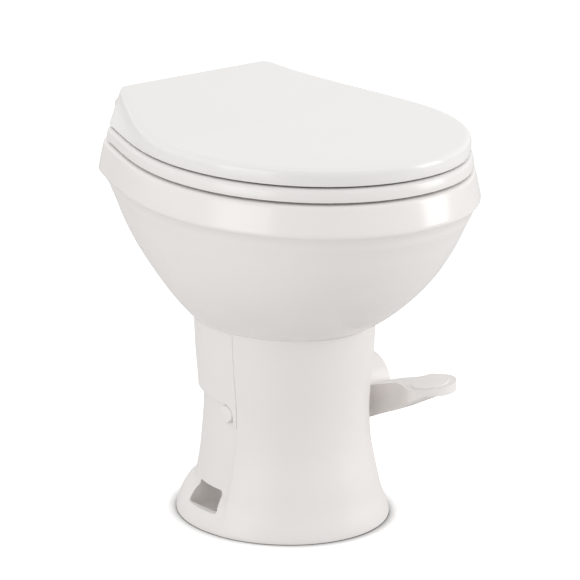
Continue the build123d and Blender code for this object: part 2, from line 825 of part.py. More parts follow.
def make_valve_body():
    body = Solid.revolve(chamber_profile(), 360, Axis.Z)
    core = rod_z(chamber_radius, shaft_z - chamber_radius / 2, chamber_top_z)
    boss = rod_x(boss_radius, chamber_radius - chamber_wall, boss_end_x, 0, shaft_z)
    boss += rod_x(boss_radius, -left_boss_end_x, -chamber_radius + chamber_wall, 0, shaft_z)
    body += boss - core
    for start, end in ((0, boss_end_x + overrun), (-left_boss_end_x - overrun, 0)):
        body -= rod_x(bush_radius, start, end, 0, shaft_z)
    for x, y in valve_screw_spots():
        body -= rod_z(screw_radius, 0, floor_plate + 2 * valve_foot_height, x, y)
    return body


def valve_screw_spots():
    step = 2 * pi / valve_screw_count
    return [(valve_screw_circle * cos((n + 0.5) * step), valve_screw_circle * sin((n + 0.5) * step))
            for n in range(valve_screw_count)]


def make_valve_screws():
    top = floor_plate + valve_foot_height
    screws = []
    for x, y in valve_screw_spots():
        screw = rod_z(screw_radius, top - valve_screw_length, top, x, y)
        screw += rod_z(screw_head_radius * valve_screw_head_share, top, top + screw_head_height, x, y)
        screws.append(screw)
    return screws


def make_valve_top_plate():
    return rod_z(flange_radius, chamber_top_z, top_plate_z) - \
        rod_z(seal_radius, chamber_top_z - overrun, top_plate_z + overrun)


def make_ball_seal():
    ring = rod_z(seal_radius, shaft_z, top_plate_z)
    ring -= rod_z(throat_radius, shaft_z - overrun, top_plate_z + overrun)
    return ring - Pos(0, 0, shaft_z) * Sphere(ball_radius + seal_gap)


def make_neck_gasket():
    return rod_z(flange_radius, top_plate_z, neck_z) - \
        rod_z(gasket_inner_radius, top_plate_z - overrun, neck_z + overrun)


def make_clamp_halves():
    low = chamber_top_z - flange_height
    high = neck_z + neck_flange_height
    inner = flange_radius + clamp_gap
    outer = inner + clamp_wall
    ring = rod_z(outer, low - clamp_gap - clamp_wall, high + clamp_gap + clamp_wall)
    ring -= rod_z(inner, low - clamp_gap, high + clamp_gap)
    ring -= rod_z(clamp_lip_radius, low - 2 * clamp_wall, high + 2 * clamp_wall)
    middle = (low + high) / 2
    halves = []
    for side in (-1, 1):
        near = side * clamp_split / 2
        half = ring & block(near, side * outer * 2, -outer, outer,
                            low - clamp_wall * 2, high + clamp_wall * 2)
        for end in (-1, 1):
            half += block(near, near + side * clamp_ear_thickness,
                          end * (inner + clamp_wall / 2), end * (outer + clamp_ear_length),
                          middle - clamp_ear_height / 2, middle + clamp_ear_height / 2)
            half -= rod_x(clamp_bolt_radius, 0, side * outer, end * (outer + clamp_ear_length / 2), middle)
        halves.append(half)
    return halves


def clamp_bolt_places():
    outer = flange_radius + clamp_gap + clamp_wall
    middle = (chamber_top_z - flange_height + neck_z + neck_flange_height) / 2
    return [(end * (outer + clamp_ear_length / 2), middle) for end in (-1, 1)]


def make_clamp_bolts():
    face = clamp_split / 2 + clamp_ear_thickness
    bolts = []
    for y, z in clamp_bolt_places():
        bolt = rod_x(clamp_bolt_radius, -face, face + 2 * clamp_bolt_head_height, y, z)
        bolt += rod_x(clamp_bolt_head_radius, -face - clamp_bolt_head_height, -face, y, z)
        bolts.append(bolt)
    return bolts


def make_clamp_nuts():
    face = clamp_split / 2 + clamp_ear_thickness
    nuts = []
    for y, z in clamp_bolt_places():
        hexagon = RegularPolygon(clamp_bolt_head_radius, 6)
        nut = extrude(hexagon, clamp_bolt_head_height)
        nut = Pos(face, y, z) * Rot(0, 90, 0) * nut
        nuts.append(nut - rod_x(clamp_bolt_radius, 0, 2 * face + clamp_bolt_head_height, y, z))
    return nuts


def make_flush_ball():
    shell = Pos(0, 0, shaft_z) * (Sphere(ball_radius) - Sphere(ball_radius - ball_wall))
    spread = ball_radius * 2 * tan(radians(ball_half_angle))
    high = shaft_z + ball_radius * 2
    wedge = side_profile([(0, shaft_z), (spread, high), (-spread, high)], -ball_half_span, ball_half_span)
    ball = shell & wedge
    for side in (-1, 1):
        inner = side * (ball_half_span - ball_wall)
        hub = side * (ball_half_span + ear_hub_length)
        ball += rod_x(ear_radius, inner, side * ball_half_span, 0, shaft_z)
        ball += rod_x(ear_hub_radius, inner, hub, 0, shaft_z)
        ball -= rod_x(shaft_radius, inner - side * overrun, hub + side * overrun, 0, shaft_z)
    return ball


def make_drive_shaft():
    shaft = rod_x(shaft_radius, shaft_inner_x, drum_end_x - drum_wall, 0, shaft_z)
    middle = chamber_radius + bush_length / 4
    shaft -= rod_x(shaft_radius + overrun, middle, middle + ring_width, 0, shaft_z) - \
        rod_x(shaft_radius - ring_depth, middle, middle + ring_width, 0, shaft_z)
    end = drum_end_x - drum_wall
    shaft -= rod_x(pedal_screw_radius, end - pedal_screw_length, end + overrun, 0, shaft_z)
    return shaft


def make_stub_shaft():
    return rod_x(shaft_radius, -shaft_left_end_x, -shaft_inner_x, 0, shaft_z)


def make_shaft_ring():
    middle = chamber_radius + bush_length / 4
    return rod_x(shaft_radius, middle, middle + ring_width, 0, shaft_z) - \
        rod_x(shaft_radius - ring_depth, middle - overrun, middle + ring_width + overrun, 0, shaft_z)


def make_shaft_bushes():
    bore = shaft_radius + running_gap
    right = rod_x(bush_radius, boss_end_x - bush_length, boss_end_x, 0, shaft_z)
    right -= rod_x(bore, 0, boss_end_x + overrun, 0, shaft_z)
    left = rod_x(bush_radius, -left_boss_end_x, -left_boss_end_x + bush_length, 0, shaft_z)
    left -= rod_x(bore, -left_boss_end_x - overrun, 0, 0, shaft_z)
    return [left, right]


def cam_radius(angle):
    """Radius at an angle below +Y: a steady rise over the flush angle, with a lead each side."""
    share = max(0, min(1 + cam_lead_angle / flush_angle, angle / flush_angle))
    return cam_low_radius + cam_rise * share


def make_cam():
    last = flush_angle + cam_lead_angle
    curve = []
    for n in range(cam_steps + 1):
        angle = last * n / cam_steps
        radius = cam_radius(angle)
        y, z = radius * cos(radians(angle)), shaft_z - radius * sin(radians(angle))
        curve.append(Vector(cam_start_x, y, z))
    flank = Edge.make_spline(curve)
    half = radians((360 - last) / 2)
    middle = Vector(cam_start_x, cam_low_radius * cos(half), shaft_z + cam_low_radius * sin(half))
    far = radians(last)
    end = Vector(cam_start_x, cam_low_radius * cos(far), shaft_z - cam_low_radius * sin(far))
    edges = [flank, Edge.make_line(curve[-1], end), Edge.make_three_point_arc(end, middle, curve[0])]
    cam = Solid.extrude(Face(Wire(edges)), Vector(cam_width, 0, 0))
    return cam - rod_x(shaft_radius, cam_start_x - overrun, cam_start_x + cam_width + overrun, 0, shaft_z)


def make_spring_cartridge():
    cup = rod_x(cartridge_radius, -cartridge_end_x, -chamber_radius - chamber_wall, 0, shaft_z)
    cup -= rod_x(cartridge_radius - cartridge_wall, -cartridge_end_x + cartridge_wall,
                 -left_boss_end_x, 0, shaft_z)
    cup -= rod_x(boss_radius, -left_boss_end_x - overrun, 0, 0, shaft_z)
    return cup


def make_return_spring():
    """A clock spring around the stub shaft: a strip between two spirals."""
    points = round(spring_points_per_turn * spring_turns) + 1
    pitch = spring_outer_radius - spring_thickness - spring_inner_radius
    start = -left_boss_end_x - spring_gap - spring_width

    def spiral(extra):
        curve = []
        for n in range(points):
            angle = 2 * pi * spring_turns * n / (points - 1)
            radius = spring_inner_radius + pitch * n / (points - 1) + extra
            curve.append(Vector(start, radius * cos(angle), shaft_z + radius * sin(angle)))
        return curve

    inner, outer = spiral(0), spiral(spring_thickness)
    edges = [Edge.make_spline(inner), Edge.make_line(inner[-1], outer[-1]),
             Edge.make_spline(outer), Edge.make_line(inner[0], outer[0])]
    return Solid.extrude(Face(Wire(edges)), Vector(spring_width, 0, 0))


def make_water_valve():
    start = boss_end_x - collar_width - overrun
    collar = rod_x(boss_radius + collar_wall, start, start + collar_width, 0, shaft_z)
    web = block(start, start + collar_width, boss_radius, water_valve_start_y + water_valve_radius,
                shaft_z - web_half_height, shaft_z + web_half_height)
    body = collar + web
    body += rod_y(water_valve_radius, water_valve_start_y, water_valve_end_y, cam_x, shaft_z)
    end = water_valve_end_y + inlet_collar_length
    body += rod_y(inlet_collar_radius, water_valve_end_y, end, cam_x, shaft_z)
    body += rod_y(inlet_radius, end, end + inlet_length, cam_x, shaft_z)
    barb_foot_z = shaft_z + water_valve_radius + barb_base_radius
    body += rod_z(barb_base_radius, shaft_z, barb_foot_z, cam_x, outlet_y)
    body += rod_z(barb_radius, shaft_z, barb_foot_z + barb_length, cam_x, outlet_y)
    body -= rod_x(boss_radius, 0, start + collar_width + overrun, 0, shaft_z)
    body -= rod_y(plunger_radius + running_gap, 0, valve_bore_end_y, cam_x, shaft_z)
    body -= rod_y(inlet_bore, valve_bore_end_y + running_gap, end + inlet_length + overrun,
                  cam_x, shaft_z)
    return body


def make_water_plunger():
    tip = cam_low_radius + plunger_gap
    nose = Pos(cam_x, tip + plunger_nose_radius, shaft_z) * Sphere(plunger_nose_radius)
    shoulder_y = water_valve_start_y - cam_rise * 2
    stem = rod_y(plunger_nose_radius, tip + plunger_nose_radius, shoulder_y, cam_x, shaft_z)
    body = rod_y(plunger_radius, shoulder_y, plunger_end_y, cam_x, shaft_z)
    return nose + stem + body


def make_water_valve_spring():
    length = valve_bore_end_y - plunger_end_y - 2 * valve_spring_wire
    coil = Helix(length / valve_spring_turns, length, valve_spring_radius)
    start = Vector(coil @ 0)
    section = Plane(origin=start, z_dir=coil % 0) * Circle(valve_spring_wire)
    spring = sweep(section, coil)
    return Pos(cam_x, plunger_end_y + valve_spring_wire, shaft_z) * Rot(-90, 0, 0) * spring


def hose_path():
    low = shaft_z + water_valve_radius + barb_base_radius
    points = [
        (cam_x, outlet_y, low), (cam_x, outlet_y, hose_rise_z),
        (hose_turn_x, hose_turn_y, hose_turn_z), (breaker_x, breaker_y, hose_top_z),
        (breaker_x, breaker_y, breaker_foot_z),
    ]
    return FilletPolyline(*points, radius=list(hose_bend_radii))


def make_supply_hose():
    path = hose_path()
    place = Plane(origin=path @ 0, z_dir=path % 0)
    return sweep(place * (Circle(hose_radius) - Circle(barb_radius + running_gap)), path)


def make_hose_clamps():
    low = shaft_z + water_valve_radius + barb_base_radius + hose_clamp_setback
    high = breaker_foot_z - hose_clamp_setback - hose_clamp_width
    clamps = []
    for x, y, z in ((cam_x, outlet_y, low), (breaker_x, breaker_y, high)):
        ring = rod_z(hose_radius + hose_clamp_thickness, z, z + hose_clamp_width, x, y)
        clamps.append(ring - rod_z(hose_radius, z - overrun, z + hose_clamp_width + overrun, x, y))
    return clamps


def make_breaker_body():
    body = rod_z(breaker_radius, breaker_foot_z, breaker_top_z - breaker_cap_wall, breaker_x, breaker_y)
    body += rod_z(barb_radius, breaker_foot_z - barb_length, breaker_foot_z, breaker_x, breaker_y)
    spout_start = nozzle_seat_y + grommet_length
    body += rod_y(nozzle_radius + nozzle_hole_gap, spout_start, breaker_y, breaker_x, breaker_outlet_z)
    chamber_low = breaker_foot_z + breaker_chamber_low
    body -= rod_z(breaker_chamber_radius, chamber_low, breaker_top_z, breaker_x, breaker_y)
    body -= rod_z(breaker_passage_radius, breaker_foot_z - barb_length / 2, chamber_low + overrun,
                  breaker_x, breaker_y)
    body -= rod_y(nozzle_bore, spout_start - overrun, breaker_y, breaker_x, breaker_outlet_z)
    return body


def make_breaker_cap():
    cap = rod_z(breaker_cap_radius, breaker_top_z - breaker_cap_height, breaker_top_z, breaker_x, breaker_y)
    cap -= rod_z(breaker_radius, breaker_top_z - breaker_cap_height - overrun,
                 breaker_top_z - breaker_cap_wall, breaker_x, breaker_y)
    for n in range(breaker_vent_count):
        angle = 360 / breaker_vent_count * n
        vent = block(breaker_radius / 2, breaker_cap_radius + overrun,
                     -breaker_vent_width / 2, breaker_vent_width / 2,
                     breaker_cap_wall, breaker_cap_wall * 2)
        cap -= Pos(breaker_x, breaker_y, breaker_top_z - breaker_cap_height) * Rot(0, 0, angle) * vent
    return cap


def make_breaker_poppet():
    low = breaker_foot_z + breaker_chamber_low
    disc = rod_z(poppet_radius, low, low + poppet_height, breaker_x, breaker_y)
    return disc + rod_z(poppet_stem_radius, low - poppet_stem_length, low, breaker_x, breaker_y)


def make_rinse_nozzle():
    face = nozzle_seat_y + grommet_length
    tail = nozzle_seat_y - nozzle_reach
    pipe = rod_y(nozzle_radius, tail, face, breaker_x, breaker_outlet_z)
    head = rod_y(nozzle_head_radius, tail - nozzle_head_length, tail, breaker_x, breaker_outlet_z)
    nozzle = pipe + head
    nozzle -= rod_y(nozzle_bore, tail - nozzle_head_length / 2, face + overrun,
                    breaker_x, breaker_outlet_z)
    nozzle -= block(breaker_x - nozzle_head_radius - overrun, breaker_x + nozzle_head_radius + overrun,
                    tail - nozzle_head_length - overrun, tail - nozzle_head_length / 2,
                    breaker_outlet_z - nozzle_slot_height / 2, breaker_outlet_z + nozzle_slot_height / 2)
    return nozzle


def make_nozzle_grommet():
    ring = rod_y(grommet_radius, nozzle_seat_y, nozzle_seat_y + grommet_length, breaker_x, breaker_outlet_z)
    return ring - rod_y(nozzle_radius, nozzle_seat_y - overrun, breaker_y, breaker_x, breaker_outlet_z)


def make_drain_seal():
    inner = drain_radius + drain_wall + drain_seal_gap
    ring = rod_z(drain_seal_radius - drain_seal_gap, 0, floor_plate)
    return ring - rod_z(inner, -overrun, floor_plate + overrun)


def arm_side_points(drop=0):
    """Side view of the top of the pedal's arm as (y, z), from the drum to the tip."""
    rise = pad_top_z - shaft_z
    top = [(pad_y * s, shaft_z + rise * t - drop) for s, t in zip(arm_top_y_shares, arm_top_z_shares)]
    tip_y = pad_y - pad_radius - overrun
    top.append((tip_y, pad_top_z - drop))
    return top


def arm_plan(grow=0):
    """The pedal from above: a straight arm that widens to a round pad."""
    low, high = shaft_z - drum_radius * 2, pad_top_z * 2
    arm = block(arm_inner_x - grow, arm_outer_x + grow, pad_y, -drum_radius / 2, low, high)
    return arm + rod_z(pad_radius + grow, low, high, pad_x, pad_y)


def arm_band(top_drop, low_points, start, end):
    """The space between the arm's top, lowered by a drop, and an underside."""
    return side_profile(arm_side_points(top_drop) + low_points, start, end)


def make_pedal():
    left, right = pad_x - pad_radius - overrun, pad_x + pad_radius + overrun
    low_end = (arm_low_end_y, arm_low_end_z)
    low_start = (arm_low_start_y, shaft_z - arm_low_start_drop)
    tip_y = pad_y - pad_radius - overrun
    underside = [(tip_y, arm_low_end_z), low_end, low_start, (arm_low_start_y, shaft_z)]
    wedge = arm_band(0, underside, left, right)
    arm = wedge & arm_plan()
    under = [(y, z - pad_lip) for y, z in reversed(arm_side_points())]
    lip = arm_band(0, under, left, right) & arm_plan()
    wing = block(left - overrun, arm_inner_x, tip_y, 0, 0, pad_top_z * 2)
    arm = (arm - wing) + (lip & wing)
    open_below = [(tip_y, 0), (arm_low_start_y - drum_radius / 2, 0)]
    hollow = arm_band(arm_skin, open_below, left, right) & arm_plan(-arm_skin)
    hollow -= rod_x(drum_radius, left, right, 0, shaft_z)
    spacing = (arm_outer_x - arm_inner_x) / (arm_rib_count + 1)
    for n in range(arm_rib_count):
        x = arm_inner_x + spacing * (n + 1)
        hollow -= block(x - arm_skin / 4, x + arm_skin / 4, tip_y, 0, 0, pad_top_z * 2)
    arm -= hollow
    drum = rod_x(drum_radius, drum_start_x, drum_end_x, 0, shaft_z)
    arm += drum
    arm -= rod_x(drum_radius - drum_wall, drum_start_x - overrun, drum_end_x - drum_wall, 0, shaft_z)
    arm += rod_x(drum_boss_radius, drum_start_x, drum_end_x - drum_wall, 0, shaft_z)
    arm -= rod_x(shaft_radius, drum_start_x - overrun, drum_end_x - drum_wall, 0, shaft_z)
    arm -= rod_x(pedal_screw_radius, drum_end_x - 2 * drum_wall, drum_end_x + overrun, 0, shaft_z)
    disc = rod_z(pad_disc_radius, pad_top_z - arm_skin / 2, pad_top_z + pad_disc_height, pad_x, pad_y)
    return arm + disc


def make_pedal_screw():
    screw = rod_x(pedal_screw_head_radius, drum_end_x, drum_end_x + pedal_screw_head_height, 0, shaft_z)
    return screw + rod_x(pedal_screw_radius, drum_end_x - drum_wall - pedal_screw_length + overrun,
                         drum_end_x, 0, shaft_z)


def make_hub_cap():
    head_end_x = drum_end_x + pedal_screw_head_height
    cap = rod_x(hub_cap_radius, drum_end_x, head_end_x + hub_cap_height, 0, shaft_z)
    return cap - rod_x(pedal_screw_head_radius, drum_end_x - overrun, head_end_x, 0, shaft_z)


def together(pieces):
    return Compound(children=list(pieces)) if isinstance(pieces, list) else pieces


makers = {
    "lid": make_lid,
    "lid_bumpers": make_lid_bumpers,
    "seat": make_seat,
    "seat_bumpers": make_seat_bumpers,
    "hinge_pins": make_hinge_pins,
    "hinge_posts": make_hinge_posts,
    "hinge_washers": make_hinge_washers,
    "hinge_wing_nuts": make_hinge_wing_nuts,
    "bowl": make_bowl,
    "bowl_bolts": make_bowl_bolts,
    "base": make_base,
    "rear_shroud": make_rear_shroud,
    "shroud_screws": make_shroud_screws,
    "screw_caps": make_screw_caps,
    "drain_seal": make_drain_seal,
    "valve_body": make_valve_body,
    "valve_screws": make_valve_screws,
    "valve_top_plate": make_valve_top_plate,
    "ball_seal": make_ball_seal,
    "neck_gasket": make_neck_gasket,
    "clamp_halves": make_clamp_halves,
    "clamp_bolts": make_clamp_bolts,
    "clamp_nuts": make_clamp_nuts,
    "flush_ball": make_flush_ball,
    "drive_shaft": make_drive_shaft,
    "stub_shaft": make_stub_shaft,
    "shaft_ring": make_shaft_ring,
    "shaft_bushes": make_shaft_bushes,
    "cam": make_cam,
    "spring_cartridge": make_spring_cartridge,
    "return_spring": make_return_spring,
    "water_valve": make_water_valve,
    "water_plunger": make_water_plunger,
    "water_valve_spring": make_water_valve_spring,
    "supply_hose": make_supply_hose,
    "hose_clamps": make_hose_clamps,
    "breaker_body": make_breaker_body,
    "breaker_cap": make_breaker_cap,
    "breaker_poppet": make_breaker_poppet,
    "rinse_nozzle": make_rinse_nozzle,
    "nozzle_grommet": make_nozzle_grommet,
    "pedal": make_pedal,
    "pedal_screw": make_pedal_screw,
    "hub_cap": make_hub_cap,
}

os.makedirs("parts", exist_ok=True)
for name, make in makers.items():
    export_step(together(make()), "parts/" + name + ".step")
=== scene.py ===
# %% [markdown]
# # A camper's toilet, dressed in Blender
# The CAD model is the fixed frame: it says where each piece is and what turns on what. This lesson
# builds the pieces that show around that frame, gives every surface a finish, and lights the whole.
# Sizes are written in millimetres and multiplied by MM, Z is up, and the toilet faces -Y with its
# foot pedal on the +X side.

# %% Load the frame
import json
from math import cos, pi, radians, sin, sqrt, tan

import bpy
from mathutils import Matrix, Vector


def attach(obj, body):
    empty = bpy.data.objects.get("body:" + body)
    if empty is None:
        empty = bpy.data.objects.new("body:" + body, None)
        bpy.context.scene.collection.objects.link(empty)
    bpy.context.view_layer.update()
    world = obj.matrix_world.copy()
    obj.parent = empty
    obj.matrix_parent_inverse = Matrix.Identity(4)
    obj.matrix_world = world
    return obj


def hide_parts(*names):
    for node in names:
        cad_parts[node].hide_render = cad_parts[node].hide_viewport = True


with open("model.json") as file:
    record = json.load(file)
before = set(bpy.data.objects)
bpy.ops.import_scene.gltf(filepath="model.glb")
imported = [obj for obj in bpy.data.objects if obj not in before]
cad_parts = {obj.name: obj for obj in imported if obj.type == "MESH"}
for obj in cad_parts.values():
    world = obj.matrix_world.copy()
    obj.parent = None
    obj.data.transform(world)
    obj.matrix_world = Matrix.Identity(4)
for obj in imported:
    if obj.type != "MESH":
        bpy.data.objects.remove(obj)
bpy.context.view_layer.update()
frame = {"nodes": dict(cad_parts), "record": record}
nodes = frame["nodes"]
scene = bpy.context.scene
MM = 0.001

# %% [markdown]
# ## The camera
# The photograph looks slightly down on the toilet from its front left, through a long lens from
# about four and a half metres away. The outlines of the lid, the rim and the foot gave the numbers.

# %% Camera
camera_data = bpy.data.cameras.new("photo_camera")
camera = bpy.data.objects.new("photo_camera", camera_data)
scene.collection.objects.link(camera)
camera.location = (-2.6269, -3.3442, 1.5521)
looking = Vector((0.5946, 0.7502, -0.2892))
camera.rotation_euler = looking.to_track_quat("-Z", "Y").to_euler()
camera_data.sensor_width = 36
camera_data.lens = 234.3
camera_data.clip_start, camera_data.clip_end = 0.1, 60
scene.camera = camera
print("camera at", [round(x, 3) for x in camera.location])

# %% [markdown]
# ## Selecting
# A modelling operator acts on all that is selected, and the frame arrives selected. So a small
# helper first lets go of everything and then picks one object. A second one opens a mesh with only
# some of its points picked by their place, which is how a hand would box-select them.

# %% Helpers to select


def let_go():
    """Deselects every object."""
    bpy.ops.object.select_all(action="DESELECT")


def only(*pieces):
    """Selects these objects and nothing else; the first is the active one."""
    if bpy.context.mode != "OBJECT":
        bpy.ops.object.mode_set(mode="OBJECT")
    let_go()
    for piece in pieces:
        piece.select_set(True)
    bpy.context.view_layer.objects.active = pieces[0]
    return pieces[0]


def pick(piece, wanted, mode="VERT"):
    """Opens a mesh for editing with only the wanted points, edges or faces selected."""
    only(piece)
    mesh = piece.data
    for group in (mesh.polygons, mesh.edges, mesh.vertices):
        for part in group:
            part.select = False
    parts = {"VERT": mesh.vertices, "EDGE": mesh.edges, "FACE": mesh.polygons}[mode]
    count = 0
    for part in parts:
        part.select = bool(wanted(part))
        count += part.select
    bpy.context.tool_settings.mesh_select_mode = (mode == "VERT", mode == "EDGE", mode == "FACE")
    bpy.ops.object.mode_set(mode="EDIT")
    return count


def close_edit():
    """Goes back from the mesh to the object."""
    bpy.ops.object.mode_set(mode="OBJECT")


# %% [markdown]
# ## Finishing a piece
# A modifier becomes part of a mesh only once it is applied, and so does a move or a scale. These
# helpers do both, so each piece ends at the origin with its place in its mesh, as the CAD pieces
# have it. Edges are softened, because moulded plastic and glazed china have none that are sharp.

# %% Helpers to finish a piece
WELD, NEAR = 0.01, 0.1


def settle(piece, name, angle=35):
    """Names a finished piece, puts its place into its mesh and shades it smooth up to an angle."""
    only(piece)
    piece.name = name
    piece.data.name = name
    bpy.ops.object.transform_apply()
    bpy.ops.object.mode_set(mode="EDIT")
    bpy.ops.mesh.select_all(action="SELECT")
    bpy.ops.mesh.remove_doubles(threshold=WELD * MM)
    bpy.ops.mesh.normals_make_consistent(inside=False)
    bpy.ops.object.mode_set(mode="OBJECT")
    bpy.ops.object.shade_smooth_by_angle(angle=radians(angle))
    print(name, "points:", len(piece.data.vertices), "faces:", len(piece.data.polygons))
    return piece


def use(piece, kind, **settings):
    """Adds a modifier with its settings and applies it."""
    only(piece)
    modifier = piece.modifiers.new(kind.lower(), kind)
    for key, value in settings.items():
        setattr(modifier, key, value)
    bpy.ops.object.modifier_apply(modifier=modifier.name)
    return piece


def soften(piece, width, segments=3, angle=50):
    """Rounds each edge where two faces meet at more than an angle."""
    return use(piece, "BEVEL", width=width * MM, segments=segments, limit_method="ANGLE",
               angle_limit=radians(angle))


def join(first, *others):
    """Puts loose pieces into one object, without cutting them together."""
    only(first, *others)
    bpy.ops.object.join()
    return first


# %% [markdown]
# ## Outlines
# Lid, seat, rim and bowl all share one plan: round in front, widest a little ahead of the middle,
# drawn in at the sides and straight across the back. A Bezier curve with seven points draws it, and
# two such plans can be mixed point by point, so the bowl can change from the oval foot at its bottom
# to the shape of the seat at its top. A plan is nine numbers: half width, reach in front of the
# widest place, that place, rear, half of the rear edge, corner radius, lean of the sides in degrees,
# and how full the sides and the front are. A helper turns it into ten points of its right half.

# %% Plans
HALF_WIDTH, FRONT_REACH, WIDEST_Y = 181.2, 215.0, -48.5
SIDE_LEAN, SIDE_FULL, FRONT_FULL = 20.5, 0.37, 0.57
ROUND_FULL = 0.5523
SEAT_REAR_Y, RIM_REAR_Y, FOOT_Y = 158.0, 203.0, -19.0
FOOT_HALF_WIDTH, FOOT_HALF_LENGTH = 103.0, 118.0
BAND_GROW, BODY_GROW = 11.0, 1.5
THROAT_R = 22.0
SEAT_PLAN = (HALF_WIDTH, FRONT_REACH, WIDEST_Y, SEAT_REAR_Y, 130.9, 16.3,
             SIDE_LEAN, SIDE_FULL, FRONT_FULL)
RIM_PLAN = (HALF_WIDTH, FRONT_REACH, WIDEST_Y, RIM_REAR_Y - BAND_GROW, 135.0, 71.0,
            SIDE_LEAN, SIDE_FULL, FRONT_FULL)
BODY_PLAN = (HALF_WIDTH, FRONT_REACH, WIDEST_Y, SEAT_REAR_Y, 139.0, 40.0,
             SIDE_LEAN, SIDE_FULL, FRONT_FULL)
FOOT_PLAN = (FOOT_HALF_WIDTH, FOOT_HALF_LENGTH, FOOT_Y, FOOT_Y + FOOT_HALF_LENGTH,
             FOOT_HALF_WIDTH * 0.91, FOOT_HALF_WIDTH * 0.88, 45.0, 0.36, ROUND_FULL)
THROAT_PLAN = (THROAT_R, THROAT_R, 0, THROAT_R, THROAT_R, THROAT_R * 0.98, 45.0, 0.36, ROUND_FULL)
SEAT_HOLE = (104.0, 148.0, -45.0, 75.0, 74.9, 64.5, 35.0, SIDE_FULL, ROUND_FULL)
RIM_HOLE = (118.0, 168.0, -40.0, 92.0, 85.0, 73.2, 35.0, SIDE_FULL, ROUND_FULL)


def half_plan(plan, grow=0.0):
    """Ten control points of the right half: front, side and rear corner curves."""
    wide, front, mid, rear, rear_half, corner, lean, side_full, front_full = plan
    wide, front, rear, rear_half = wide + grow, front + grow, rear + grow, rear_half + grow
    corner = max(corner + grow, corner / 4)
    across, along = cos(radians(lean)), sin(radians(lean))
    cx, cy = rear_half - corner, rear - corner
    sx, sy = cx + corner * across, cy + corner * along
    handle = side_full * (sy - mid)
    bend = 4 / 3 * tan(radians((90 - lean) / 4)) * corner
    return [(0, mid - front), (front_full * wide, mid - front), (wide, mid - front_full * front),
            (wide, mid), (wide, mid + handle), (sx + handle * along, sy - handle * across), (sx, sy),
            (sx - bend * along, sy + bend * across), (cx + bend, rear), (cx, rear)]


def mix(first, second, share):
    """Two plans mixed point by point: the first at 0, the second at 1."""
    return [(a + (c - a) * share, b + (d - b) * share) for (a, b), (c, d) in zip(first, second)]


def bowl_plan(share, grow=0.0):
    """The bowl's section: the throat at -1, the foot's oval at 0, the shape of the seat at 1."""
    foot = half_plan(FOOT_PLAN, grow)
    if share < 0:
        return mix(foot, half_plan(THROAT_PLAN, grow), -share)
    return mix(foot, half_plan(BODY_PLAN, grow + BODY_GROW), share)


print("widest plan:", round(2 * (HALF_WIDTH + BAND_GROW), 1), "mm across")

# %% [markdown]
# A ring is such a plan at one height, as a loop of points. A Bezier circle gives the loop its knots,
# each knot is moved to its place in the plan, and the curve is turned into a mesh.

# %% Rings
RING_STEPS = 16


def ring(points, z):
    """A loop of points in a plan's shape at a height."""
    let_go()
    bpy.ops.curve.primitive_bezier_circle_add(radius=1)
    curve = bpy.context.active_object
    spline = curve.data.splines[0]
    spline.bezier_points.add(3)
    spline.resolution_u = RING_STEPS
    curve.data.resolution_u = RING_STEPS
    curve.data.dimensions = "3D"
    rear_x = points[9][0]
    right = [(points[3], points[2], points[4]), (points[6], points[5], points[7]),
             (points[9], points[8], (rear_x / 3, points[9][1]))]
    front = (points[0], (-points[1][0], points[1][1]), points[1])

    def flip(p):
        return (-p[0], p[1])

    left = [(flip(at), flip(after), flip(before)) for at, before, after in reversed(right)]
    for knot, (at, before, after) in zip(spline.bezier_points, [front] + right + left):
        knot.handle_left_type = knot.handle_right_type = "FREE"
        knot.co = (at[0] * MM, at[1] * MM, z * MM)
        knot.handle_left = (before[0] * MM, before[1] * MM, z * MM)
        knot.handle_right = (after[0] * MM, after[1] * MM, z * MM)
    bpy.ops.object.convert(target="MESH")
    return bpy.context.active_object


# %% [markdown]
# Rings are stacked and bridged one to the next, which gives even faces all the way round, and rings
# set close together make a rounded edge. At its ends the tube stays open, gets a flat face on each,
# or is led back into itself, which closes a hollow shell.

# %% Skins
HAIR = 0.04


def skin(name, sections, ends="open", draw=ring):
    """Bridges a stack of (plan, height) sections. The ends stay open, are filled, or meet.

    Two rings at one height leave the bridge no up and down to go by, and it may then cross over,
    so such a ring is set a hair higher.
    """
    body = draw(*sections[0])
    count = len(body.data.vertices)
    last = sections[0][1]

    def bridge(wanted):
        pick(body, wanted)
        bpy.ops.mesh.bridge_edge_loops()
        close_edit()

    for plan, z in sections[1:]:
        last = z + HAIR if abs(z - last) < HAIR / 2 else z
        join(body, draw(plan, last))
        total = len(body.data.vertices)
        bridge(lambda v: v.index >= total - 2 * count)
    if ends == "meet":
        bridge(lambda v: v.index < count or v.index >= total - count)
    if ends == "filled":
        for wanted in (lambda v: v.index < count, lambda v: v.index >= total - count):
            pick(body, wanted)
            bpy.ops.mesh.edge_face_add()
            close_edit()
    body.name = name
    return body


# %% [markdown]
# A profile given as listed points looks lumpy if its points are joined straight. An automatic Bezier
# curve runs smoothly through them and is read back as closer points. Heights are squeezed meanwhile, so
# that both numbers of a pair are about as large, which suits its handles.

# %% Smooth lines
SQUEEZE = 80


def smooth_pairs(pairs, steps=3):
    """Points on a smooth line through (value, height) pairs, read from an automatic Bezier curve."""
    let_go()
    bpy.ops.curve.primitive_bezier_curve_add(radius=1)
    curve = bpy.context.active_object
    spline = curve.data.splines[0]
    spline.bezier_points.add(len(pairs) - 2)
    curve.data.resolution_u = spline.resolution_u = steps
    for knot, (value, height) in zip(spline.bezier_points, pairs):
        knot.co = (value, 0, height / SQUEEZE)
        knot.handle_left_type = knot.handle_right_type = "AUTO"
    bpy.ops.object.convert(target="MESH")
    line = bpy.context.active_object
    found = [(v.co.x, v.co.z * SQUEEZE) for v in line.data.vertices]
    bpy.data.objects.remove(line)
    return found


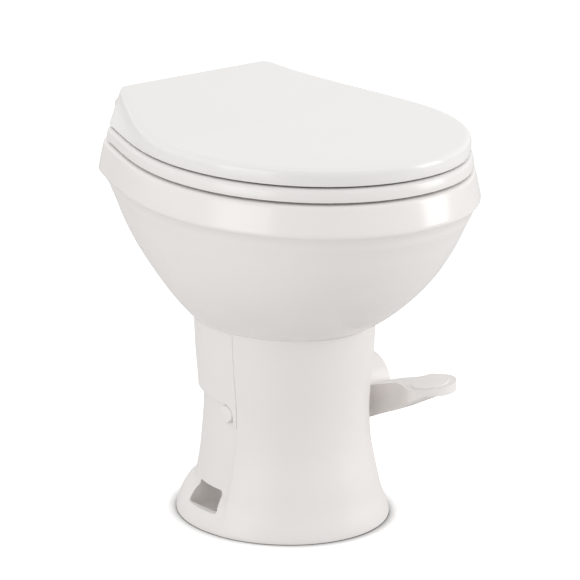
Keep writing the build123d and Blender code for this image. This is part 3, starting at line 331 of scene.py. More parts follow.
# %% [markdown]
# ## The lid
# The real lid is a moulded shell, open below, with a skirt all round. Its top is level in front and
# sweeps up to a straight edge at the back. The shell is bridged from rings, outside first and then
# back down inside, and a lattice lifts its top to give the sweep while the skirt's foot stays flat.

# %% Lid shell
LID_TOP, LID_WALL, LID_INSET = 477.2, 4.0, 0.8
outer = [(2.2, 458.2), (1.3, 458.5), (0.8, 459.4), (0.8, 465.0), (0.8, 470.0),
         (1.2, 472.4), (2.2, 474.6), (4.0, 476.2), (6.4, 477.0), (9.5, 477.2)]
inner = [(9.5, 473.2), (6.9, 472.4), (5.3, 470.6), (4.8, 468.0), (4.8, 458.2)]
lid_rings = [(half_plan(SEAT_PLAN, -inset), z) for inset, z in inner + outer]
lid = skin("lid_shell", lid_rings, ends="filled")
print("lid rings:", len(lid_rings))

# %% [markdown]
# Both ends of that tube of rings are single flat faces now. Each is extruded in place and shrunk
# toward one point, again and again, which draws smaller and smaller copies of the outline on it.
# The faces this leaves are small enough to follow the sweep that comes next.

# %% Rings on the lid's two flat faces
SHRINK_STEPS, LID_HEART_Y = 9, -96.0


def ring_in(piece, z):
    """Draws shrinking copies of its own outline on the flat face at a height."""
    largest = max(len(f.vertices) for f in piece.data.polygons)
    level = z * MM
    pick(piece, lambda f: len(f.vertices) == largest and abs(f.center.z - level) < NEAR * MM, "FACE")
    for left in range(SHRINK_STEPS, 1, -1):
        share = (left - 1) / left
        bpy.ops.mesh.extrude_region_move(TRANSFORM_OT_translate={"value": (0, 0, 0)})
        bpy.ops.transform.resize(value=(share, share, 1), center_override=(0, LID_HEART_Y * MM, level))
    close_edit()


ring_in(lid, LID_TOP)
ring_in(lid, LID_TOP - LID_WALL)
print("lid faces:", len(lid.data.polygons))

# %% [markdown]
# A lattice is a cage of points round a piece, and the mesh follows where a point of the cage moves.
# Only its upper layer is lifted, by a curve that climbs faster toward the back. The same layer is
# drawn in there, so the sides of the hump lean inward as they rise.

# %% Sweep of the lid's top
LATTICE_ROWS, CAGE_Z, CAGE_HIGH = 15, 465, 10
HUMP_START, HUMP_RISE, HUMP_LEAN = -40.0, 24.6, 0.125
LID_REAR_Y = SEAT_REAR_Y - LID_INSET
front_y, rear_y = WIDEST_Y - FRONT_REACH, LID_REAR_Y
let_go()
bpy.ops.object.add(type="LATTICE", location=(0, (front_y + rear_y) / 2 * MM, CAGE_Z * MM))
cage = bpy.context.active_object
cage.data.points_u, cage.data.points_v, cage.data.points_w = 2, LATTICE_ROWS, 2
cage.data.interpolation_type_u = cage.data.interpolation_type_w = "KEY_LINEAR"
cage.data.interpolation_type_v = "KEY_CARDINAL"
cage.scale = (2 * HALF_WIDTH * MM, (rear_y - front_y) * MM, CAGE_HIGH * MM)
for number, point in enumerate(cage.data.points):
    row, layer = number // 2 % LATTICE_ROWS, number // (2 * LATTICE_ROWS)
    y = front_y + (rear_y - front_y) * row / (LATTICE_ROWS - 1)
    climb = max(0, (y - HUMP_START) / (LID_REAR_Y - HUMP_START))
    if layer == 1:
        point.co_deform.z += HUMP_RISE / CAGE_HIGH * climb ** 2
        point.co_deform.x *= 1 - HUMP_LEAN * climb ** 2
bpy.context.view_layer.update()
use(lid, "LATTICE", object=cage)
bpy.data.objects.remove(cage)
print("lid top now at", round(max(v.co.z for v in lid.data.vertices) / MM, 1), "mm")

# %% [markdown]
# ## Rods, boxes and cuts
# The working parts are plainer: round bores, straight arms and pockets. Helpers make a cylinder
# along an axis, a box between two corners, and a side outline pushed out sideways. Another adds or
# cuts one solid with a second. It uses the exact solver, which copes with faces that nearly touch.

# %% Rods, boxes and cuts


def rod(radius, length, place, along="X", corners=48):
    """A cylinder along an axis, centred at a place."""
    turn = {"X": (0, pi / 2, 0), "Y": (pi / 2, 0, 0), "Z": (0, 0, 0)}[along]
    let_go()
    bpy.ops.mesh.primitive_cylinder_add(vertices=corners, radius=radius * MM, depth=length * MM,
                                        location=[p * MM for p in place], rotation=turn)
    bpy.ops.object.transform_apply()
    return bpy.context.active_object


def slab(low, high):
    """A box between two corners."""
    centre = [(a + b) / 2 * MM for a, b in zip(low, high)]
    let_go()
    bpy.ops.mesh.primitive_cube_add(size=1, location=centre)
    block = bpy.context.active_object
    block.scale = [(b - a) * MM for a, b in zip(low, high)]
    bpy.ops.object.transform_apply()
    return block


def combine(piece, tool, how="UNION"):
    """Adds another solid, or cuts it or keeps what both share. The other one is then removed."""
    use(piece, "BOOLEAN", object=tool, operation=how, solver="EXACT")
    bpy.data.objects.remove(tool)
    return piece


def cut(piece, tool):
    """Takes another solid away from a piece."""
    return combine(piece, tool, "DIFFERENCE")


def prism(points, x_low, x_high):
    """A side outline of (y, z) points filled and pushed out along X."""
    let_go()
    bpy.ops.mesh.primitive_circle_add(vertices=len(points), radius=1)
    side = bpy.context.active_object
    for vertex, (y, z) in zip(side.data.vertices, points):
        vertex.co = (x_low * MM, y * MM, z * MM)
    pick(side, lambda v: True)
    bpy.ops.mesh.edge_face_add()
    push = ((x_high - x_low) * MM, 0, 0)
    bpy.ops.mesh.extrude_region_move(TRANSFORM_OT_translate={"value": push})
    bpy.ops.mesh.select_all(action="SELECT")
    bpy.ops.mesh.normals_make_consistent(inside=False)
    close_edit()
    return side


# %% [markdown]
# ## The lid's knuckles and buttons
# Two knuckles behind the lid turn on the hinge pins. A knuckle is a cylinder with its bore cut by a
# second one, and an arm that runs back to the lid's rear wall. Under the lid four round bosses hold
# the soft buttons that it rests on.

# %% Lid knuckles and bosses
HINGE_Y, HINGE_Z = 170.0, 474.0
KNUCKLE_R, KNUCKLE_W, PIN_R = 8.0, 12.0, 4.05
POST_X, POST_HALF, KNUCKLE_GAP = 79.0, 8.0, 0.5
BOSS_R, BOSS_LENGTH, BOSS_Z = 7, 14.6, 467.9
BUTTON_SPOTS = [(s * x, y) for s in (-1, 1) for x, y in ((142.6, -48.5), (81.5, -203.3))]


def knuckle(x_low, arm_points):
    """A hinge knuckle with its bore and an arm whose side outline is given as (y, z) points."""
    centre = (x_low + KNUCKLE_W / 2, HINGE_Y, HINGE_Z)
    eye = rod(KNUCKLE_R, KNUCKLE_W, centre)
    combine(eye, prism(arm_points, x_low, x_low + KNUCKLE_W))
    cut(eye, rod(PIN_R, KNUCKLE_W * 2, centre, corners=32))
    return soften(eye, 0.8, 2)


arm_end = LID_REAR_Y - 2
lid_arm = [(HINGE_Y, HINGE_Z - KNUCKLE_R), (arm_end, HINGE_Z - KNUCKLE_R - 1),
           (arm_end, HINGE_Z + KNUCKLE_R + 1), (HINGE_Y, HINGE_Z + KNUCKLE_R)]
lid_start = POST_X - POST_HALF - KNUCKLE_GAP - KNUCKLE_W
extras = [knuckle(lid_start, lid_arm), knuckle(-lid_start - KNUCKLE_W, lid_arm)]
extras += [soften(rod(BOSS_R, BOSS_LENGTH, (x, y, BOSS_Z), "Z"), 0.6, 2, 30) for x, y in BUTTON_SPOTS]
join(lid, *extras)
settle(lid, "lid_shell", 40)
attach(lid, "lid")
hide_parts("lid")

# %% [markdown]
# ## The seat
# The seat is a ring with rounded lips, a little narrower above than below, so that it reads as a
# band between the lid and the rim. Its hole is an oval that is flatter at the back.

# %% Seat ring
SEAT_LOW = 440.5
seat_outer = [(1.4, 440.5), (2.3, 440.9), (2.7, 442.0), (2.3, 446.5), (1.7, 450.5), (1.0, 453.0),
              (-0.6, 454.9), (-3.0, 455.9), (-6.0, 456.0)]
seat_inner = [(-7.0, 455.7), (-3.6, 454.5), (-1.2, 452.2), (0.0, 449.0), (0.0, 443.0),
              (-0.8, 441.2), (-2.6, 440.5)]
across_top = ((0.3, 456.0), (0.62, 455.9), (0.9, 455.8))
seat_rings = [(half_plan(SEAT_PLAN, grow), z) for grow, z in seat_outer]
hole, hole_low = half_plan(SEAT_HOLE, 9), half_plan(SEAT_HOLE, 2.6)
seat_rings += [(mix(seat_rings[-1][0], hole, s), z) for s, z in across_top]
seat_rings += [(half_plan(SEAT_HOLE, -grow), z) for grow, z in seat_inner]
seat_rings += [(mix(hole_low, seat_rings[0][0], s), SEAT_LOW) for s in (0.1, 0.5, 0.9)]
seat_rings[-1] = (seat_rings[-1][0], SEAT_LOW + NEAR)
seat = skin("seat_ring", seat_rings, ends="meet")
print("seat rings:", len(seat_rings))

# %% [markdown]
# The seat turns on the same pins as the lid: the lid's knuckles stand inside the two posts and the
# seat's outside them. The seat lies lower, so its arms climb from the ring to the pin in an S.

# %% Seat arms
ARM_UNDER = SEAT_LOW + 0.6
seat_arm = [(144, ARM_UNDER), (144, 452), (160, 452.6), (163.2, 474.5), (HINGE_Y, 477),
            (176.8, HINGE_Z - 4), (171, 456), (161.2, ARM_UNDER)]
seat_start = POST_X + POST_HALF + KNUCKLE_GAP
join(seat, knuckle(seat_start, seat_arm), knuckle(-seat_start - KNUCKLE_W, seat_arm))
settle(seat, "seat_ring", 40)
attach(seat, "seat")
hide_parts("seat")

# %% [markdown]
# ## The bowl
# The china bowl is one skin from the neck that the valve grips, out under the pedestal's top, up the
# outside, over the rim and down inside to the throat. The rim is a band that flares down to a soft
# crease and then turns in under itself. Behind the seat the band runs further back as a deck.

# %% Lines of the bowl
BOWL_FOOT, RIM_TOP, BODY_TOP = 243.5, 437.7, 386.7
NECK_Z, BASIN_TOP = 184.0, 409.7
body_shares = [(0.0, 0.0), (0.101, 0.055), (0.275, 0.165), (0.439, 0.29), (0.606, 0.44),
               (0.744, 0.60), (0.864, 0.77), (0.938, 0.90), (1.0, 1.0)]
body = smooth_pairs([(s, BOWL_FOOT + h * (BODY_TOP - BOWL_FOOT)) for s, h in body_shares])
basin_shares = [(-1.0, 0.0), (-0.66, 0.17), (-0.22, 0.295), (0.35, 0.415), (0.67, 0.57),
                (0.88, 0.75), (0.90, 1.0)]
basin = smooth_pairs([(s, NECK_Z + h * (BASIN_TOP - NECK_Z)) for s, h in basin_shares])
print("points up the outside:", len(body), "and up the inside:", len(basin))

# %% Rings of the bowl
FOOT_SINK, CHINA_WALL = 1.2, 13
neck_steps = ((2, NECK_Z), (42, NECK_Z), (44, NECK_Z + 1.5), (44, NECK_Z + 8.5),
              (42, NECK_Z + 10), (14, NECK_Z + 10))
funnel_steps = ((-0.93, 198), (-0.87, 205), (-0.66, 225.5), (-0.55, 239), (-0.52, 242.9))
foot_steps = ((-0.3, 4, BOWL_FOOT - FOOT_SINK), (0.0, -3, BOWL_FOOT - FOOT_SINK),
              (0.0, -0.8, BOWL_FOOT))
lip_steps = ((0.04, 388.3), (0.16, 391.4), (0.38, 395.2), (0.66, 398.8), (0.86, 400.9), (0.95, 401.9))
band_steps = ((10.9, 402.9), (11.0, 404.2), (10.7, 406.0), (8.5, 417.0), (6.2, 428.0),
              (5.1, 432.6), (4.5, 434.8), (3.0, 436.6), (0.6, 437.5), (-2.4, 437.7))
edge_steps = ((6.0, 437.4), (2.6, 435.8), (0.6, 433.0), (0.0, 429.0), (0.0, 416.0),
              (1.0, 412.6), (3.6, 410.5), (8.0, BASIN_TOP))
crease, under = half_plan(RIM_PLAN, BAND_GROW), half_plan(BODY_PLAN, BODY_GROW)
neck = [(half_plan(THROAT_PLAN, grow), z) for grow, z in neck_steps]
funnel = [(bowl_plan(share, 10), z) for share, z in funnel_steps]
foot = [(bowl_plan(share, grow), z) for share, grow, z in foot_steps]
outside = [(bowl_plan(share), z) for share, z in body[1:]]
lip = [(mix(under, crease, share), z) for share, z in lip_steps]
band = [(half_plan(RIM_PLAN, grow), z) for grow, z in band_steps]
top = [(mix(band[-1][0], half_plan(RIM_HOLE, 8), share), RIM_TOP) for share in (0.35, 0.7, 0.97)]
edge = [(half_plan(RIM_HOLE, grow), z) for grow, z in edge_steps]
inside = [(bowl_plan(share, -CHINA_WALL * min(1, 1 + share) if share < 0 else -CHINA_WALL), z)
          for share, z in basin[::-1]]

# %% Bowl skin
bowl_rings = neck + funnel + foot + outside + lip + band + top + edge + inside
bowl = skin("bowl_china", bowl_rings, ends="meet")
print("bowl faces:", len(bowl.data.polygons))

# %% [markdown]
# Some cuts come last, once the skin is closed: a hole on each side of the deck for the seat's stud,
# with a flat spot under it for the washer, and a hole at the back for the rinse nozzle. Each is a rod
# taken away from the china, as a potter would bore the clay before firing.

# %% Holes in the bowl
DECK_UNDER, STUD_HOLE_R, SPOT_R = 411.7, 4.6, 15.0
NOZZLE_X, NOZZLE_Z, NOZZLE_SEAT_Y = 45.0, 357.0, 150.5
NOZZLE_HOLE_R, NOZZLE_SPOT_R = 6.3, 12
for side in (-1, 1):
    cut(bowl, rod(SPOT_R, 30, (side * POST_X, HINGE_Y, DECK_UNDER - 15), "Z"))
    cut(bowl, rod(STUD_HOLE_R, 60, (side * POST_X, HINGE_Y, 430), "Z", 24))
cut(bowl, rod(NOZZLE_HOLE_R, 80, (NOZZLE_X, 142, NOZZLE_Z), "Y", 32))
cut(bowl, rod(NOZZLE_SPOT_R, 32, (NOZZLE_X, NOZZLE_SEAT_Y + 16, NOZZLE_Z), "Y"))
settle(bowl, "bowl_china", 50)
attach(bowl, "toilet")
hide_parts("bowl")

# %% [markdown]
# ## The pedestal
# The pedestal is a moulded column with a waist. Its sections are ovals, so its skin is bridged from
# scaled circles whose half width and half length are read from smooth lines over the height. There
# are two such columns: the wide front shell, and a slimmer column that shows behind the seam.

# %% Pedestal sections
PEDESTAL_Y, OVAL_POINTS = -15.0, 112
section_heights = (0.0, 0.039, 0.124, 0.253, 0.380, 0.584, 0.837, 1.0)
shell_widths = (1.203, 1.178, 1.089, 1.007, 0.950, 0.923, 0.963, 0.978)
shell_lengths = (1.127, 1.118, 1.072, 1.026, 0.967, 0.940, 0.980, 0.996)
column_sizes = (1.020, 1.010, 0.975, 0.921, 0.891, 0.866, 0.906, 0.920)


def over_height(sizes):
    """A smooth line of sizes over the pedestal's height."""
    return smooth_pairs([(size, h * BOWL_FOOT) for size, h in zip(sizes, section_heights)], 5)


def at_height(line, z):
    """Reads a smooth line of (value, height) points at a height."""
    for (value, low), (next_value, high) in zip(line, line[1:]):
        if low <= z <= high:
            return value + (next_value - value) * (z - low) / (high - low)
    return line[-1][0]


SHELL = (over_height(shell_widths), over_height(shell_lengths))
COLUMN = (over_height(column_sizes), over_height(column_sizes))


def section(kind, z, grow=0.0):
    """Half width, half length and middle of a pedestal section."""
    wide, long = kind
    half_x = at_height(wide, z) * FOOT_HALF_WIDTH + grow
    half_y = at_height(long, z) * FOOT_HALF_LENGTH + grow
    return half_x, half_y, PEDESTAL_Y + (FOOT_Y - PEDESTAL_Y) * z / BOWL_FOOT


def oval_ring(plan, z):
    """A loop of points on an oval at a height."""
    half_x, half_y, centre_y = plan
    place = (0, centre_y * MM, z * MM)
    let_go()
    bpy.ops.mesh.primitive_circle_add(vertices=OVAL_POINTS, radius=1, location=place)
    loop = bpy.context.active_object
    loop.scale = (half_x * MM, half_y * MM, 1)
    bpy.ops.object.transform_apply()
    return loop


def pedestal_skin(name, kind, grows, ends="filled"):
    """A solid or tube through ovals at (grow, height) places."""
    return skin(name, [(section(kind, z, grow), z) for grow, z in grows], ends, oval_ring)


print("shell at the waist:", [round(v, 1) for v in section(SHELL, 140)])

# %% [markdown]
# The front shell ends in a soft vertical edge on each side, the seam. It is cut from the full skin
# with a box, and only the two long edges that the cut left are picked and bevelled.

# %% Front shell
LEVELS = (5, 10, 16, 23, 31, 40, 50, 62, 76, 92, 110, 130, 150, 170, 190, 208, 224, 236)
SEAM_Y, SEAM_ROUND, FAR = -45.0, 1.8, 200
shell_levels = [(-1.6, 0), (-0.5, 0.6), (0, 2)] + [(0, z) for z in LEVELS] + [(0, BOWL_FOOT)]
front = pedestal_skin("front_shell", SHELL, shell_levels)
cut(front, slab((-FAR, SEAM_Y, -5), (FAR, FAR, 250)))


def on_seam(edge):
    """True for an upright edge in the plane of the seam."""
    ends = [front.data.vertices[i].co for i in edge.vertices]
    in_plane = all(abs(p.y - SEAM_Y * MM) < WELD * MM for p in ends)
    return in_plane and abs(ends[0].z - ends[1].z) > NEAR * MM


picked = pick(front, on_seam, "EDGE")
bpy.ops.mesh.bevel(offset=SEAM_ROUND * MM, segments=5, affect="EDGES")
close_edit()
print("edges of the seam that were rounded:", picked)

# %% [markdown]
# Behind the seam the foot swells out into a flange with a round shoulder. Flange and column are made
# in the same way as the front shell and then become one solid with it.

# %% Foot flange and column
flange_levels = [(-2.2, 0), (-1.0, 0.6), (-0.5, 2), (-0.5, 8), (-0.5, 14), (-0.6, 19), (-1.1, 24),
                 (-2.1, 28.5), (-3.8, 32.5), (-6.2, 36), (-9.2, 38.6), (-12.5, 40), (-16, 40.4)]
flange = pedestal_skin("flange", SHELL, flange_levels)
cut(flange, slab((-FAR, -FAR, -5), (FAR, SEAM_Y - 15, 60)))
column_levels = [(0, 5)] + [(0, z) for z in LEVELS[1:]] + [(0, BOWL_FOOT - 0.1)]
base = combine(front, pedestal_skin("column", COLUMN, column_levels))
combine(base, flange)
print("pedestal faces while solid:", len(base.data.polygons))

# %% [markdown]
# The inside is taken out, because the flush valve turns in there. Where the two floor bolts stand,
# a block with thin walls is left in that hollow, to be opened from outside in the next step.

# %% Inside of the pedestal
WALL, PLATE_Z, TOP_PLATE_Z = 5.0, 10.0, 235.5
POCKET_IN, POCKET_HALF, POCKET_TOP, LINING = 62, 25, 45.5, 3.5
hollow_levels = [(-WALL, PLATE_Z)] + [(-WALL, z) for z in LEVELS[2:-1]] + [(-WALL, TOP_PLATE_Z)]
rear_hollow = pedestal_skin("rear_hollow", COLUMN, hollow_levels)
front_hollow = pedestal_skin("front_hollow", SHELL, hollow_levels)
cut(front_hollow, slab((-FAR, SEAM_Y - WALL, 0), (FAR, FAR, 250)))


def pocket(side, inner, outer, half, low, high):
    """A box on one side, from an inner to an outer distance."""
    start, end = sorted((side * inner, side * outer))
    return slab((start, -half, low), (end, half, high))


for side in (-1, 1):
    cut(rear_hollow, pocket(side, POCKET_IN - LINING, 130, POCKET_HALF + LINING, 1, POCKET_TOP + 2))
cut(base, rear_hollow)
cut(base, front_hollow)
print("base faces:", len(base.data.polygons))

# %% [markdown]
# Each alcove is opened with three boxes that are joined first: a deep one down to the floor plate, a
# shallow one that leaves a rim of the flange standing in front, and one turned a little, so that the
# opening widens outward. A slot in the floor takes the bolt.

# %% Bolt alcoves
SLOT_X, SLOT_R, SLOT_HALF = 76.2, 4.5, 6.5
RIM_X, RIM_Z, SPLAY = 107.5, 21.5, radians(27.5)


def set_down(piece, turn, place):
    """Turns a piece about the origin, moves it, and makes that its own shape."""
    only(piece)
    piece.rotation_euler, piece.location = turn, [v * MM for v in place]
    bpy.ops.object.transform_apply(location=True, rotation=True, scale=False)
    return piece


for side in (-1, 1):
    opening = pocket(side, POCKET_IN, RIM_X, POCKET_HALF, PLATE_Z, POCKET_TOP)
    shallow = pocket(side, 72, 150, 24.9, RIM_Z, POCKET_TOP - 0.1)
    start, end = sorted((side * -12, side * 60))
    wedge = slab((start, 0, RIM_Z + 0.1), (end, 22, POCKET_TOP - 0.2))
    set_down(wedge, (0, 0, -side * SPLAY), (side * 97, -24.8, 0))
    for box in (opening, shallow, wedge):
        soften(box, 3.4, 4)
    combine(opening, shallow)
    combine(opening, wedge)
    cut(base, opening)
    slot = pocket(side, SLOT_X - SLOT_HALF, SLOT_X + SLOT_HALF, SLOT_R, -1, 12)
    for end in (-1, 1):
        combine(slot, rod(SLOT_R, 13, (side * SLOT_X + end * SLOT_HALF, 0, 5.5), "Z", 24))
    cut(base, slot)
print("base faces with its alcoves:", len(base.data.polygons))

# %% [markdown]
# The last cuts let the drain out through the floor, the bowl's funnel in at the top and the pedal's
# shaft through the side. Then all the edges that the cuts left are softened at once.

# %% Drain, top and shaft openings
SHAFT_Z, DRAIN_R, SHAFT_ROOM = 127.0, 50, 19
top_hole = [((78, 91, FOOT_Y), 230), ((78, 91, FOOT_Y), 250)]
cut(base, rod(DRAIN_R, 14, (0, 0, 5), "Z", 72))
cut(base, skin("top_hole", top_hole, "filled", oval_ring))
cut(base, slab((48, -13, SHAFT_Z - SHAFT_ROOM), (103, 64, SHAFT_Z + SHAFT_ROOM)))
soften(base, 1.4)
settle(base, "pedestal_base", 40)
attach(base, "toilet")
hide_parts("base")

# %% [markdown]
# ## The rear shroud and its screw caps
# A second moulding closes the back of the column from under the bowl down to mid height. It is a
# tube between the shell's oval and the column's, opened at the front. On the left its lower edge
# runs forward and drops round a low disc on the column. A screw is in there, hidden by a flat cap
# with a small thumb notch.

# %% Rear shroud
SHROUD_LOW, SHROUD_TOP = 150.0, 243.2
tube_levels = (126, 134, 142, 150, 160, 172, 186, 200, 214, 228, 238)
outer_levels = [(-1.6, 125.5)] + [(-0.6, z) for z in tube_levels] + [(-0.6, 242.2), (-1.4, SHROUD_TOP)]
inner_levels = [(0.2, SHROUD_TOP)] + [(0.2, z) for z in tube_levels[::-1]]
tube = [(section(SHELL, z, grow), z) for grow, z in outer_levels]
tube += [(section(COLUMN, z, grow), z) for grow, z in inner_levels]
shroud = skin("rear_shroud", tube, "meet", oval_ring)
cut(shroud, slab((-FAR, -FAR, 100), (FAR, SEAM_Y + 0.3, 250)))
left_edge = [(200, 155.5), (-7, 154.4), (-22, 153.6), (-29, 152.4), (-34, 149.6), (-37.4, 145.5),
             (-39.2, 140), (-39.8, 133), (-39.8, 100), (200, 100)]
cut(shroud, prism(left_edge, -FAR, 0))
cut(shroud, slab((0, -60, 100), (FAR, FAR, SHROUD_LOW)))
cut(shroud, rod(41, 120, (110, 0, SHAFT_Z), "X", 96))
soften(shroud, 1.2)
print("shroud faces:", len(shroud.data.polygons))

# %% [markdown]
# Each screw needs a round seat in the moulding. On the left it stands below the shroud's edge, so it
# is a disc with a recess. On the right the shroud reaches past it and is simply cut.

# %% Seats for the screw caps
CAP_R, SEAT_RIM = 10.4, 0.9
CAPS = [(-1, -27.0, 140.0), (1, -27.0, 205.0)]


def shell_face(y, z):
    """How far out the shroud's face is at a place."""
    wide, long, middle = section(SHELL, z)
    return wide * sqrt(1 - ((y - middle) / long) ** 2) - 0.6


left, right = CAPS
seat_face = shell_face(*left[1:]) - 1.3
cap_seat = soften(rod(CAP_R + SEAT_RIM, 12, (-seat_face + 6, *left[1:]), "X", 64), 0.9)
cut(cap_seat, rod(CAP_R + 0.2, 10, (-seat_face - 4.2, *left[1:]), "X", 64))
join(shroud, cap_seat)
cut(shroud, rod(CAP_R + 0.25, 20, (shell_face(*right[1:]) + 8.5, *right[1:]), "X", 64))
settle(shroud, "rear_shroud_shell", 40)
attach(shroud, "toilet")
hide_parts("rear_shroud")

# %% [markdown]
# The caps are pushed in by hand and prised out with a thumbnail, so each is a thin disc with a notch
# at its lower front. A cap is made flat at the origin, where turning it is easy, and then set down.

# %% Screw caps
CAP_THICK, NOTCH_R, CAP_TILT = 2.5, 1.8, radians(4)


def screw_cap(side, y, z):
    """A cap made at the origin and set down flush with the face round it."""
    cap = soften(rod(CAP_R, CAP_THICK, (0, 0, 0), "X", 64), 0.6)
    cut(cap, rod(NOTCH_R, 8, (side * 2, -CAP_R * 0.74, -CAP_R * 0.74), "X", 24))
    return set_down(cap, (0, 0, -side * CAP_TILT), (side * (shell_face(y, z) - 1.2), y, z))


caps = join(*[screw_cap(*place) for place in CAPS])
settle(caps, "screw_cap_pair", 40)
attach(caps, "toilet")
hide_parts("screw_caps")

# %% [markdown]
# ## The foot pedal
# A drum sits on the valve's shaft, and an arm runs forward from it and flares into a round pad. The
# arm is drawn twice, as a side view pushed across and as a plan pushed up, and the solid that both
# share is the arm. The pad's top leans a little, so it is cut off with a tilted box. The edges are
# rounded, then the arm is hollowed from below and keeps ribs that show under its rim.

# %% Side view of the arm
DRUM_R, DRUM_START, DRUM_END, DRUM_WALL = 38.3, 94.0, 150.0, 4.0
ARM_IN, ARM_OUT, FLARE_R = 109.0, 150.0, 80.0
PAD_X, PAD_Y, PAD_R, PAD_TOP = 128.0, -135.0, 30.5, 161.2
PAD_TILT, ARM_REAR_Y, PUSH = (-0.10, -0.125, 0), -18, (90, 165)
TIP_Y = PAD_Y - PAD_R - 1
ARM_LOW = ((TIP_Y, 153.8), (-154.0, 153.8), (-121.0, 136.0), (-77.0, 113.2), (-46.0, 99.0),
           (ARM_REAR_Y, 88.0), (ARM_REAR_Y, SHAFT_Z))
ARM_HIGH = ((-34.0, 134.6), (-57.0, 143.2), (-80.0, 150.0), (-98.0, 156.0), (-112.0, 163.0),
            (TIP_Y, 172.0))


def arm_top(drop=0.0):
    """The arm's top in side view as (y, z), from the drum to the tip."""
    return [(y, z - drop) for y, z in ARM_HIGH]


print("the arm reaches", -TIP_Y, "mm in front of the shaft")

# %% Arm from above


def flare(side, grow):
    """The patch that leads the arm's side into the round pad with a hollow curve."""
    edge = ARM_IN if side < 0 else ARM_OUT
    across = side * (edge - PAD_X) + FLARE_R
    along = sqrt((FLARE_R + PAD_R) ** 2 - across ** 2)
    radius, middle = FLARE_R - grow, (edge + side * FLARE_R, PAD_Y + along)
    touch_x = middle[0] - side * radius * across / (FLARE_R + PAD_R)
    touch_y = middle[1] - radius * along / (FLARE_R + PAD_R)
    start, end = sorted((touch_x, PAD_X))
    patch = slab((start, touch_y, 60), (end, middle[1], 200))
    return cut(patch, rod(radius, 160, (*middle, 130), "Z", 96))


def arm_plan(grow=0.0):
    """The arm from above: straight sides that flare into a round pad."""
    plan = slab((ARM_IN - grow, PAD_Y, 60), (ARM_OUT + grow, ARM_REAR_Y, 200))
    combine(plan, flare(-1, grow))
    combine(plan, flare(1, grow))
    return combine(plan, rod(PAD_R + grow, 140, (PAD_X, PAD_Y, 130), "Z", 96))


def above_pad(drop=0.0):
    """A box that fills the room over the leaning top of the pad."""
    return set_down(slab((-70, -70, 0), (70, 60, 50)), PAD_TILT, (PAD_X, PAD_Y, PAD_TOP - drop))


pedal = combine(prism(arm_top() + list(ARM_LOW), *PUSH), arm_plan(), "INTERSECT")
cut(pedal, above_pad())
soften(pedal, 3.4, 5, 70)
print("pedal arm faces:", len(pedal.data.polygons))

# %% [markdown]
# A moulded arm is a shell with ribs, which saves plastic. So a smaller arm is made in the same way,
# slit where the ribs stand, and taken out of the first.

# %% Hollow of the arm
SKIN, RIBS = 4.0, (-62, -80, -97, -113, -128, -142)
hollow_side = prism(arm_top(SKIN) + [(TIP_Y, 40), (-36, 40)], *PUSH)
hollow = combine(hollow_side, arm_plan(-SKIN), "INTERSECT")
cut(hollow, above_pad(SKIN))
cut(hollow, rod(DRUM_R, 90, (122, 0, SHAFT_Z), "X", 96))
for y in RIBS:
    cut(hollow, slab((PUSH[0], y - 1, 30), (PUSH[1], y + 1, 200)))
cut(pedal, hollow)
print("pedal arm faces once hollow:", len(pedal.data.polygons))

# %% [markdown]
# The drum is a cup over the end of the shaft: a cylinder, its inside taken out, and a hub put back in
# the middle with a bore for the shaft. A thin disc on the pad, where the shoe rests, comes last.

# %% Drum and pad
HUB_R, BORE_R, SCREW_R, DISC_R = 15, 9, 3, 23.0
inner_end = DRUM_END - DRUM_WALL
drum = rod(DRUM_R, DRUM_END - DRUM_START, ((DRUM_START + DRUM_END) / 2, 0, SHAFT_Z), "X", 96)
combine(pedal, soften(drum, 2.4, 4))
cut(pedal, rod(DRUM_R - DRUM_WALL, 62, (inner_end - 31, 0, SHAFT_Z), "X", 96))
hub_middle = (DRUM_START + inner_end + 1) / 2
combine(pedal, rod(HUB_R, inner_end + 1 - DRUM_START, (hub_middle, 0, SHAFT_Z), "X"))
cut(pedal, rod(BORE_R, 62, (inner_end - 31, 0, SHAFT_Z), "X"))
cut(pedal, rod(SCREW_R, 20, (DRUM_END, 0, SHAFT_Z), "X", 24))
disc = soften(rod(DISC_R, 5.0, (0, 0, 0), "Z", 96), 1.3, 4)
join(pedal, set_down(disc, PAD_TILT, (PAD_X - 1, PAD_Y - 1, PAD_TOP - 0.1)))
settle(pedal, "foot_pedal", 35)
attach(pedal, "pedal")
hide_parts("pedal")

# %% [markdown]
# ## The hub button
# A shallow button with a well rounded edge closes the end of the drum. A recess behind it leaves
# room for the head of the pedal's screw.

# %% Hub button
BUTTON_R, BUTTON_HIGH, RECESS_R = 14, 6, 6.5
hub = soften(rod(BUTTON_R, BUTTON_HIGH, (DRUM_END + 3, 0, SHAFT_Z), "X", 64), 1.8, 4)
cut(hub, rod(RECESS_R, BUTTON_HIGH, (DRUM_END, 0, SHAFT_Z), "X", 32))
settle(hub, "hub_button", 40)
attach(hub, "pedal")
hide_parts("hub_cap")

# %% [markdown]
# ## The hinge posts
# Two posts behind the lid carry the hinge pins. Each is a block with a round head and a bore, a foot
# that spreads the load over the china, and a stud that goes down through the deck.

# %% Hinge posts
HEAD_R, FOOT_R, FOOT_HIGH, STUD_R, STUD_TAIL = 7.5, 13, 2.4, 4, 393.7


